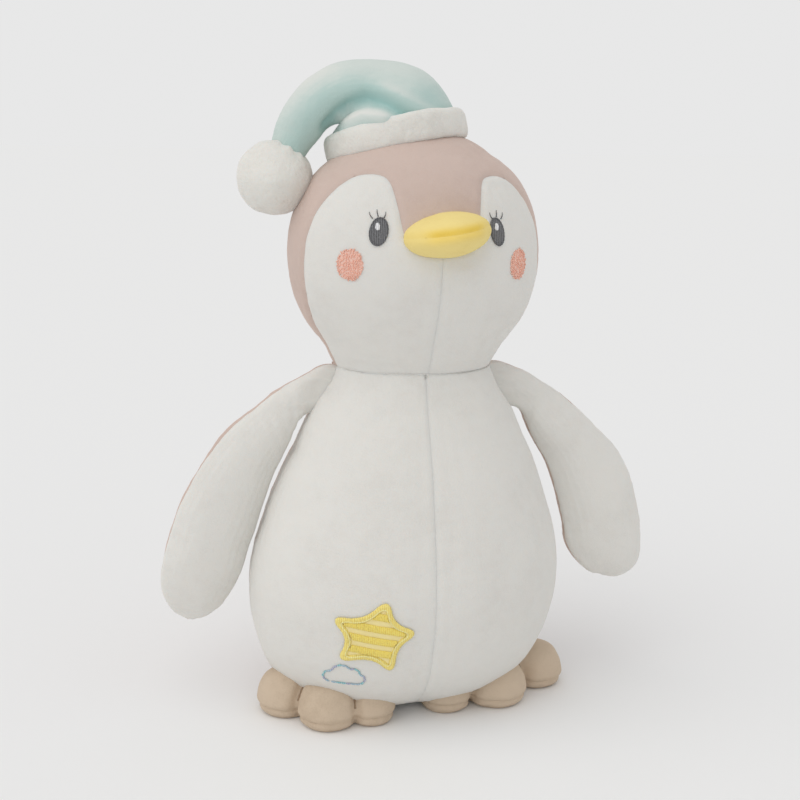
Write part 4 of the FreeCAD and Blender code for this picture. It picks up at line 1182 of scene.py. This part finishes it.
def flipper_grid(rows, n_st, phi, inner_shift):
    flat = np.array([(r[0][0], r[0][1], r[1][0], r[1][1], r[2]) for r in rows], float)
    # the sewn end runs on into the torso
    d0 = flat[0] - flat[1]
    pre = flat[0] + np.array([d0[0] * 0.2, 0, d0[2] * 0.2, 0, 0])
    pre[0] += inner_shift * 7.0
    pre[2] += inner_shift * 7.0
    pre[1] -= 1.5
    pre[4] = 2.6
    flat = np.concatenate([[pre], flat])
    s = np.concatenate([[0], np.cumsum(np.linalg.norm(np.diff((flat[:, 0:2] + flat[:, 2:4]) / 2, axis=0), axis=1))])
    s[-1] = s[-2] + max(s[-1] - s[-2], 1.0)
    q = np.concatenate([np.linspace(0, s[-3], n_st), np.linspace(s[-3], s[-1], max(8, n_st // 7))[1:]])
    f = catmull(s, flat, q)
    # the tip's outline is one even curve
    fade = smooth01((q / s[-1] - 0.55) / 0.2)[:, None]
    g_ = f.copy()
    for _ in range(int(70 * (n_st / 190.0) ** 2) + 1):
        g_[1:-1] = (g_[:-2] + g_[2:] + 2 * g_[1:-1]) / 4
    f = f * (1 - fade) + g_ * fade
    P = np.zeros((len(q), len(phi), 3))
    for i in range(len(q)):
        o_, w_ = np.array([f[i, 0], 0, f[i, 1]]), np.array([f[i, 2], 0, f[i, 3]])
        c = (o_ + w_) / 2
        h_ = (o_ - w_) / 2
        # a pillow section: fuller than an ellipse near its edge
        cc, ss = np.cos(phi), np.sin(phi)
        P[i] = c + h_[None] * cc[:, None] + np.array([0, 1, 0])[None] * (max(f[i, 4], 0.8) * np.sign(ss) * np.abs(ss) ** 0.92)[:, None]
    return P, q / s[-1], f


for side, name, rows in ((-1, "right", FLIP_R), (1, "left", FLIP_L)):
    ph1 = np.linspace(0, 2 * np.pi, 28, endpoint=False)
    Pc, vc, _ = flipper_grid(rows, 26, ph1, -side)
    pin = np.zeros(Pc.shape[:2], bool)
    pin[:, 0] = pin[:, 14] = True
    pin[:4] = True
    pin[-1] = True
    D = soften(puff("flipper_" + name, Pc, pin, cap=1.3), 1)
    ph2 = np.linspace(0, 2 * np.pi, 200, endpoint=False)
    Pd, vd_, _ = flipper_grid(rows, 190, ph2, -side)
    n1, n2 = Pd.shape[:2]
    e0, e1 = Pd[0].mean(0), Pd[-1].mean(0)
    wv_ = np.interp(vd_, vc, np.linspace(0, 1, len(vc)))
    sk = Skin(np.concatenate([Pd.reshape(-1, 3), [e0, e1]]), grid(n1, n2), u=np.concatenate([np.tile(ph2 / (2 * np.pi), n1), [0, 0]]), w=np.concatenate([np.repeat(wv_, n2), [0, 1]]))
    n_ = sk.normals()
    mid = sk.v[:-2].reshape(n1, n2, 3)
    c_mid = mid[n1 // 2].mean(0)
    if (n_[:-2].reshape(n1, n2, 3)[n1 // 2] * (mid[n1 // 2] - c_mid)).sum() < 0:
        sk.t = sk.t[:, ::-1]
        n_ = sk.normals()
    s_f = sk.snap(sk.v[:, 1] + 1e-6)
    dd = sample(D, sk.x["u"], sk.x["w"])
    dd[-2:] = 0
    sk.v += dd
    d_e = line_distance(sk, (s_f == 0), 12)
    pk = 1 + 0.35 * noise3(sk.v, 3.0, 71)
    hh = groove(d_e, 0.75, 1.3, 0.45) * pk
    hh += 0.45 * noise3(sk.v, 21, 72) + 0.14 * noise3(sk.v, 8, 73) + 0.05 * noise3(sk.v, 3.2, 74) + 0.04 * noise3(sk.v, 1.4, 75)
    # gathers where the flipper is sewn to the shoulder
    root = np.array([rows[0][0][0], 0, rows[0][0][1]]) * 0.5 + np.array([rows[0][1][0], 0, rows[0][1][1]]) * 0.5
    dist = np.linalg.norm((sk.v - root) * [1, 0.5, 0.6], axis=1)
    hh += 0.3 * np.exp(-(dist / 12) ** 2) * np.sin(sk.v[:, 2] * 0.95 + noise3(sk.v, 6, 76) * 2)
    sk.v += n_ * hh[:, None]
    n_ = sk.normals()
    fr = face_side(s_f, sk.t) < 0
    a_ = np.array([rows[0][0][0], 0, rows[0][0][1]])
    b_ = np.array([rows[0][1][0], 0, rows[0][1][1]])
    for part, mask, mat, slot_, nodes in (("front", fr, M_WHITE, "white_velour", ["flipper_%s_front" % name, "flipper_%s_filling" % name]),
                                          ("back", ~fr, M_PINK, "pink_velour", ["flipper_%s_back" % name, "flipper_%s_root" % name])):
        o = panel("flipper_%s_%s_cover" % (name, part), sk, mask, n_, hem=1.4)
        o.data.materials.append(mat)
        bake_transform(o)
        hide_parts(*nodes)


# ------------------------------------------------------------------ feet
def pebble_mesh(x, y, r, k=36):
    rows = np.array([(0, 0.80), (2.0, 0.93), (4.5, 1.0), (8.0, 0.96), (11.5, 0.78), (13.8, 0.50), (FOOT_H, 0.15)], float)
    zq = np.linspace(0, FOOT_H, 26)
    kk = spline(rows[:, 0], rows[:, 1], zq)
    ph = np.linspace(0, 2 * np.pi, k, endpoint=False)
    P = np.zeros((len(zq), k, 3))
    for i in range(len(zq)):
        P[i] = np.stack([x + r * kk[i] * np.cos(ph), y + r * kk[i] * np.sin(ph), np.full(k, zq[i] * TOE_K)], 1)
    v_ = np.concatenate([P.reshape(-1, 3), [[x, y, 0], [x, y, FOOT_H * TOE_K]]])
    return v_, grid(len(zq), k)


for side, name, spec in ((-1, "right", FOOT_R), (1, "left", FOOT_L)):
    items = [pebble_mesh(*t) for t in spec["toes"] + [spec["heel"]]]
    # fillers keep the foot whole between toes and heel
    hx, hy, hr = spec["heel"]
    for tx, ty, tr in spec["toes"]:
        items.append(pebble_mesh((tx + hx) / 2, (ty + hy) / 2, (tr + hr) / 2 * 0.96))
    tmp = many("foot_tmp", items)
    md = tmp.modifiers.new("r", "REMESH")
    md.mode = "VOXEL"
    md.voxel_size = 0.00085
    dg = bpy.context.evaluated_depsgraph_get()
    ev = tmp.evaluated_get(dg)
    me = ev.data
    me.calc_loop_triangles()
    vv_ = np.zeros(len(me.vertices) * 3, np.float32)
    me.vertices.foreach_get("co", vv_)
    tt_ = np.zeros(len(me.loop_triangles) * 3, np.int32)
    me.loop_triangles.foreach_get("vertices", tt_)
    sk = Skin(vv_.reshape(-1, 3).astype(float) / MM, tt_.reshape(-1, 3))
    bpy.data.objects.remove(tmp, do_unlink=True)
    sk.smooth(3, 0.5)
    n_ = sk.normals()
    c_ = sk.v.mean(0)
    if ((sk.v - c_) * n_).sum() < 0:
        sk.t = sk.t[:, ::-1]
        n_ = sk.normals()
    s_f = sk.snap(sk.v[:, 2] - SOLE_Z)
    d_s = line_distance(sk, s_f == 0, 8)
    # grooves between neighbouring toes
    g = np.full(len(sk.v), 20.0)
    tt = spec["toes"]
    glines = []
    for a_, b_ in ((tt[0], tt[1]), (tt[1], tt[2])):
        mx = (a_[0] * b_[2] + b_[0] * a_[2]) / (a_[2] + b_[2])
        my = (a_[1] * b_[2] + b_[1] * a_[2]) / (a_[2] + b_[2])
        u = unit(np.array([b_[0] - a_[0], b_[1] - a_[1]]))
        w_ = np.array([-u[1], u[0]])
        if w_[1] > 0:
            w_ = -w_
        rel = sk.v[:, :2] - [mx, my]
        across = np.abs(rel @ u)
        along = rel @ w_
        g = np.minimum(g, np.where(along > -9, across, 20))
        glines.append((np.array([mx, my]), w_))
    hh = groove(d_s, 0.6, 0.9, 0.5) * (1 + 0.3 * noise3(sk.v, 2.5, 81))
    hh += np.where(sk.v[:, 2] > 1.5, groove(g, 0.9, 1.5, 0.3), 0)
    hh += 0.40 * noise3(sk.v, 10, 82) + 0.08 * noise3(sk.v, 3.0, 83) + 0.04 * noise3(sk.v, 1.4, 84)
    sk.v += n_ * (hh * smooth01((sk.v[:, 2] - 0.3) / 1.5))[:, None]
    sk.v[:, 2] = np.maximum(sk.v[:, 2], 0.0)
    n_ = sk.normals()
    up = face_side(s_f, sk.t) > 0
    body = "foot_" + name
    o = panel("foot_%s_top" % name, sk, up, n_, hem=1.2)
    dress(o, M_TAUPE, body, "taupe_velour", "foot_%s_upper" % name, "foot_%s_filling" % name, fill=0.6)
    o = panel("foot_%s_under" % name, sk, ~up, n_, hem=1.2)
    dress(o, M_TAUPE, body, "taupe_velour", "foot_%s_sole" % name, fill=0.6)
    # the stitch that pulls each pair of toes apart
    fb = bvh_of(sk)
    items = []
    for (m_, w_) in glines:
        path = []
        for s in np.linspace(-8, 13, 30):
            p = m_ + w_ * s
            hit = fb.ray_cast(Vector((p[0], p[1], 40)), Vector((0, 0, -1)))
            if hit[0] is None:
                break
            path.append(tuple(hit[0] + hit[1].normalized() * 0.10) if hit[1].z > 0 else tuple(hit[0]))
        end_z = 3.0
        if len(path) > 4:
            items.append(tube(np.array(path), 0.42 + 0.09 * np.sin(np.arange(len(path)) * 2.4), n=6, nrm=np.array([0, 0, 1.0])))
    o = many("foot_%s_stitch" % name, items)
    dress(o, M_TSTITCH, body, "taupe_thread", "foot_%s_toe_stitching" % name)

# ------------------------------------------------------------------ night-cap
cs = np.array([h_[0] for h_ in HAT], float)
ds = unit(np.array([h_[1] for h_ in HAT], float))
rs_ = np.array([[h_[2], h_[3]] for h_ in HAT], float)
sl = np.concatenate([[0], np.cumsum(np.linalg.norm(np.diff(cs, axis=0), axis=1))])


def hat_grid(nr, phi):
    q = np.linspace(0, sl[-1], nr)
    c = spline(sl, cs, q)
    d = unit(spline(sl, ds, q))
    r = spline(sl, rs_, q)
    P = np.zeros((nr, len(phi), 3))
    for i in range(nr):
        ey = np.array([0, 1.0, 0])
        ey = unit(ey - d[i] * (ey @ d[i]))
        ex = np.cross(ey, d[i])
        P[i] = c[i] + np.outer(np.cos(phi) * r[i, 0], ex) + np.outer(np.sin(phi) * r[i, 1], ey)
    return P, q


ph1 = np.linspace(0, 2 * np.pi, 40, endpoint=False)
Pc, qc = hat_grid(30, ph1)
pin = np.zeros(Pc.shape[:2], bool)
pin[:3] = True
pin[-2:] = True
D = soften(puff("hat", Pc, pin, cap=1.6), 1)
ph2 = np.linspace(0, 2 * np.pi, 260, endpoint=False)
Pd, qd = hat_grid(170, ph2)
n1, n2 = Pd.shape[:2]
hat = Skin(np.concatenate([Pd.reshape(-1, 3), [Pd[0].mean(0), Pd[-1].mean(0)]]), grid(n1, n2), u=np.concatenate([np.tile(ph2 / (2 * np.pi), n1), [0, 0]]),
           w=np.concatenate([np.repeat(np.linspace(0, 1, n1), n2), [0, 1]]))
n_ = hat.normals()
m_ = hat.v[:-2].reshape(n1, n2, 3)
if (n_[:-2].reshape(n1, n2, 3)[60] * (m_[60] - m_[60].mean(0))).sum() < 0:
    hat.t = hat.t[:, ::-1]
    n_ = hat.normals()
dd = sample(D, hat.x["u"], hat.x["w"])
dd[-2:] = 0
hat.v += dd


def arc_distance(px, pz, pts):
    best = np.full(len(px), 1e9)
    side_ = np.zeros(len(px))
    for (x0, z0), (x1, z1) in zip(pts[:-1], pts[1:]):
        dx, dz = x1 - x0, z1 - z0
        t = np.clip(((px - x0) * dx + (pz - z0) * dz) / (dx * dx + dz * dz), 0, 1)
        qx, qz = px - x0 - t * dx, pz - z0 - t * dz
        d_ = np.hypot(qx, qz)
        m2 = d_ < best
        side_[m2] = (dx * qz - dz * qx)[m2]
        best = np.minimum(best, d_)
    return best, np.sign(side_)


X, Y, Z = hat.v[:, 0], hat.v[:, 1], hat.v[:, 2]
front = smooth01((6 - Y) / 9.0)
back = smooth01((Y - 4) / 9.0)
CREASE = [(-33.5, 243.5), (-30.0, 248.5), (-26.0, 252.0), (-20.5, 254.6), (-14.5, 253.5), (-8.0, 249.6), (-3.0, 246.2)]
CRE2 = [(-27.5, 246.0), (-22.0, 247.8), (-15.0, 246.8)]
RIDGE2 = [(-12.5, 257.5), (-6.0, 254.5), (1.0, 250.5), (5.5, 247.5)]
d1, sd1 = arc_distance(X, Z, CREASE)
d2, _ = arc_distance(X, Z, CRE2)
d3, _ = arc_distance(X, Z, RIDGE2)
hh = front * (-3.0 * np.exp(-(d1 / 3.0) ** 2) + 1.9 * np.exp(-(d2 / 3.4) ** 2) + 0.8 * np.exp(-(d3 / 2.8) ** 2))
hh += back * (-2.4 * np.exp(-(d1 / 3.6) ** 2))
hh += 0.4 * noise3(hat.v, 16, 91) + 0.12 * noise3(hat.v, 6, 92) + 0.05 * noise3(hat.v, 2.8, 93) + 0.04 * noise3(hat.v, 1.4, 94)
seam = np.abs(((hat.x["u"] - 0.25) % 1.0)) * 2 * np.pi * 20
seam = np.minimum(seam, 2 * np.pi * 20 - seam)
hh += groove(np.clip(seam, 0, 12), 0.8, 1.3)
endf = smooth01((hat.x["w"]) / 0.04) * smooth01((1 - hat.x["w"]) / 0.04)
hat.v += n_ * (hh * endf)[:, None]
n_ = hat.normals()
# painted shade: a deeper teal laid into the creases and over a patch at the front of the top, where the folds fall into
# shade
crease_shade = front * (0.95 * np.exp(-((d1 + 0.4 * sd1) / 3.6) ** 2)) + back * 0.5 * np.exp(-(d1 / 4) ** 2)
front_shade_patch = np.exp(-((X - 4) / 9.0) ** 2) * np.exp(-((Z - 256) / 7.0) ** 2) * front * 0.45
crease_shade = np.clip(crease_shade + front_shade_patch, 0, 1)
# painted highlight: a paler mint on faces turned upwards and on the tail's left side, where the light falls; weaker
# inside the painted shade
painted_highlight = np.clip(smooth01((n_[:, 2] - 0.15) / 0.7) * 0.62 + front * (0.65 * np.exp(-(d2 / 3.0) ** 2) + 0.2 * np.exp(-(d3 / 2.8) ** 2)), 0, 1)
painted_highlight *= 1 - crease_shade * 0.8
painted_highlight = np.clip(painted_highlight + 0.35 * smooth01((-X - 18) / 14) * smooth01((n_[:, 0] * -1 - 0.1) / 0.6), 0, 1)
o = make_object("cap", hat.v, hat.t, attrs={"mottle_dark_and_crease_shade": crease_shade, "painted_highlight": painted_highlight})
o.data.materials.append(M_MINT)
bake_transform(o)
# how far each point of the cap lies past the tail's pivot station, measured along the cap itself
along = hat.x["w"] * sl[-1] - sl[5]
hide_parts("hat_cone", "hat_cone_filling", "hat_tail", "hat_tail_filling")

# brim: a plush band folded round the cap's edge
nb, nc = 330, 64
th = np.linspace(0, 2 * np.pi, nb, endpoint=False)
ey = unit(np.array([0, 1.0, 0]) - BRIM_N * BRIM_N[1])
ex = np.cross(ey, BRIM_N)
prof = []
for k in np.linspace(0, 2 * np.pi, nc, endpoint=False):
    # a tall rounded section: radius out, height along the axis
    co_, si_ = math.cos(k), math.sin(k)
    px = 26.4 + 3.3 * math.copysign(abs(co_) ** 0.7, co_)
    pz = 5.9 * math.copysign(abs(si_) ** 0.62, si_)
    prof.append((px, pz))
prof = np.array(prof)
Pb = np.zeros((nb, nc, 3))
for i, t in enumerate(th):
    rad = ex * math.cos(t) + ey * math.sin(t) * 0.93
    Pb[i] = BRIM_C + prof[:, 0:1] * rad[None] + prof[:, 1:2] * BRIM_N[None]
i_, j_ = np.meshgrid(np.arange(nb), np.arange(nc), indexing="ij")
a = i_ * nc + j_
b = ((i_ + 1) % nb) * nc + j_
c = ((i_ + 1) % nb) * nc + (j_ + 1) % nc
d = i_ * nc + (j_ + 1) % nc
tb = np.concatenate([np.stack([a, b, c], -1).reshape(-1, 3), np.stack([a, c, d], -1).reshape(-1, 3)])
brim = Skin(Pb.reshape(-1, 3), tb)
n_ = brim.normals()
rad_all = brim.v - BRIM_C
if (n_ * rad_all).sum() < 0:
    brim.t = brim.t[:, ::-1]
    n_ = brim.normals()
hh = 0.4 * noise3(brim.v, 13, 95) + 0.10 * noise3(brim.v, 4.5, 96) + 0.07 * noise3(brim.v, 2.0, 97) + 0.06 * noise3(brim.v, 1.0, 98)
brim.v += n_ * hh[:, None]
o = make_object("cap_brim", brim.v, brim.t)
dress(o, M_PLUSH, "head", "white_plush", "hat_brim", fill=0.7)

# pompom: a gathered ball of plush, drawn in where the tail is sewn on
ico_r, ico_c = 150, 230
tt_ = np.linspace(0.02, np.pi - 0.02, ico_r)
pp = np.linspace(0, 2 * np.pi, ico_c, endpoint=False)
axis = unit(POM_PIVOT - POM_C)
e1 = unit(np.cross(axis, [0, 1.0, 0]))
e2 = np.cross(axis, e1)
V = np.zeros((ico_r, ico_c, 3))
for i, t in enumerate(tt_):
    rr_ = math.sin(t)
    dirs = axis * math.cos(t) + np.outer(np.cos(pp) * rr_, e1) + np.outer(np.sin(pp) * rr_, e2)
    pull = 1 - 0.16 * math.exp(-(t / 0.42) ** 2)
    V[i] = POM_C + dirs * POM_R * pull
pom = Skin(np.concatenate([V.reshape(-1, 3), [POM_C + axis * POM_R * 0.84, POM_C - axis * POM_R]]), grid(ico_r, ico_c))
n_ = pom.normals()
if (n_ * (pom.v - POM_C)).sum() < 0:
    pom.t = pom.t[:, ::-1]
    n_ = pom.normals()
ang_ = np.concatenate([np.tile(pp, ico_r), [0, 0]])
lat = np.concatenate([np.repeat(tt_, ico_c), [0, np.pi]])
hh = 0.9 * noise3(pom.v, 11, 101) + 0.22 * noise3(pom.v, 4.6, 102) + 0.10 * noise3(pom.v, 2.0, 103) + 0.07 * noise3(pom.v, 1.0, 104)
hh += 0.5 * np.cos(ang_ * 9) * np.exp(-((lat - 0.45) / 0.35) ** 2)
pom.v += n_ * hh[:, None]
o = make_object("cap_pompom", pom.v, pom.t)
dress(o, M_PLUSH, "pompom", "white_plush", "hat_pompom", "pompom_filling", fill=0.6)

# ------------------------------------------------------------------ studio
floor_me = bpy.data.meshes.new("floor")
S = 60.0
floor_me.from_pydata([(-S, -S, 0), (S, -S, 0), (S, S, 0), (-S, S, 0)], [], [(0, 1, 2, 3)])
floor = bpy.data.objects.new("floor", floor_me)
bpy.context.scene.collection.objects.link(floor)
fm = bpy.data.materials.new("floor_mat")
fm.use_nodes = True
fb_ = fm.node_tree.nodes["Principled BSDF"]
FLOOR_L = 0.805
SUN, SUN_COS = 0.92, 0.80
WORLD = 0.67
alb = FLOOR_L / (WORLD + SUN * SUN_COS / math.pi)
fb_.inputs["Base Color"].default_value = (alb, alb, alb, 1)
fb_.inputs["Roughness"].default_value = 1.0
fb_.inputs["Specular IOR Level"].default_value = 0.0
floor.data.materials.append(fm)

w = bpy.data.worlds.new("world")
bpy.context.scene.world = w
w.use_nodes = True
nt = w.node_tree
nt.nodes.clear()
wo = nt.nodes.new("ShaderNodeOutputWorld")
lp = nt.nodes.new("ShaderNodeLightPath")
b1 = nt.nodes.new("ShaderNodeBackground")
b1.inputs[0].default_value = (1.0, 1.0, 1.0, 1)
b1.inputs[1].default_value = WORLD
b2 = nt.nodes.new("ShaderNodeBackground")
b2.inputs[0].default_value = (1, 1, 1, 1)
b2.inputs[1].default_value = FLOOR_L
mx = nt.nodes.new("ShaderNodeMixShader")
nt.links.new(lp.outputs["Is Camera Ray"], mx.inputs[0])
nt.links.new(b1.outputs[0], mx.inputs[1])
nt.links.new(b2.outputs[0], mx.inputs[2])
nt.links.new(mx.outputs[0], wo.inputs[0])

sun_d = bpy.data.lights.new("key", "SUN")
sun_d.energy = SUN
sun_d.angle = math.radians(70)
sun_d.color = (1.0, 0.995, 0.985)
sun = bpy.data.objects.new("key", sun_d)
bpy.context.scene.collection.objects.link(sun)
to_light = Vector((-0.50, -0.33, 0.80)).normalized()
sun.rotation_euler = to_light.to_track_quat("Z", "Y").to_euler()

sc = bpy.context.scene
sc.view_settings.view_transform = "Standard"
sc.view_settings.look = "None"
sc.view_settings.exposure = 0.0
sc.view_settings.gamma = 1.0

# camera
az, el, roll = math.radians(-13.5), math.radians(11.5), math.radians(1.0)
target = Vector((0, 0, 0.131))
back_ = Vector((math.sin(az) * math.cos(el), -math.cos(az) * math.cos(el), math.sin(el)))
cam_loc = target + back_ * 0.529
fwd = -back_
right = fwd.cross(Vector((0, 0, 1))).normalized()
upv = right.cross(fwd)
yaw = math.atan(5.0 / 1250.0)          # the target lies 5 px right of the middle
fwd2 = (fwd * math.cos(yaw) - right * math.sin(yaw)).normalized()
right2 = (right * math.cos(yaw) + fwd * math.sin(yaw)).normalized()
r3 = right2 * math.cos(roll) + upv * math.sin(roll)
u3 = upv * math.cos(roll) - right2 * math.sin(roll)
cam_d = bpy.data.cameras.new("cam")
cam_d.lens = 56.25
cam_d.sensor_width = 36.0
cam_d.clip_start = 0.01
cam_d.clip_end = 200
cam = bpy.data.objects.new("cam", cam_d)
mat = Matrix((r3, u3, -fwd2)).transposed().to_4x4()
mat.translation = cam_loc
cam.matrix_world = mat
bpy.context.scene.collection.objects.link(cam)
sc.camera = cam
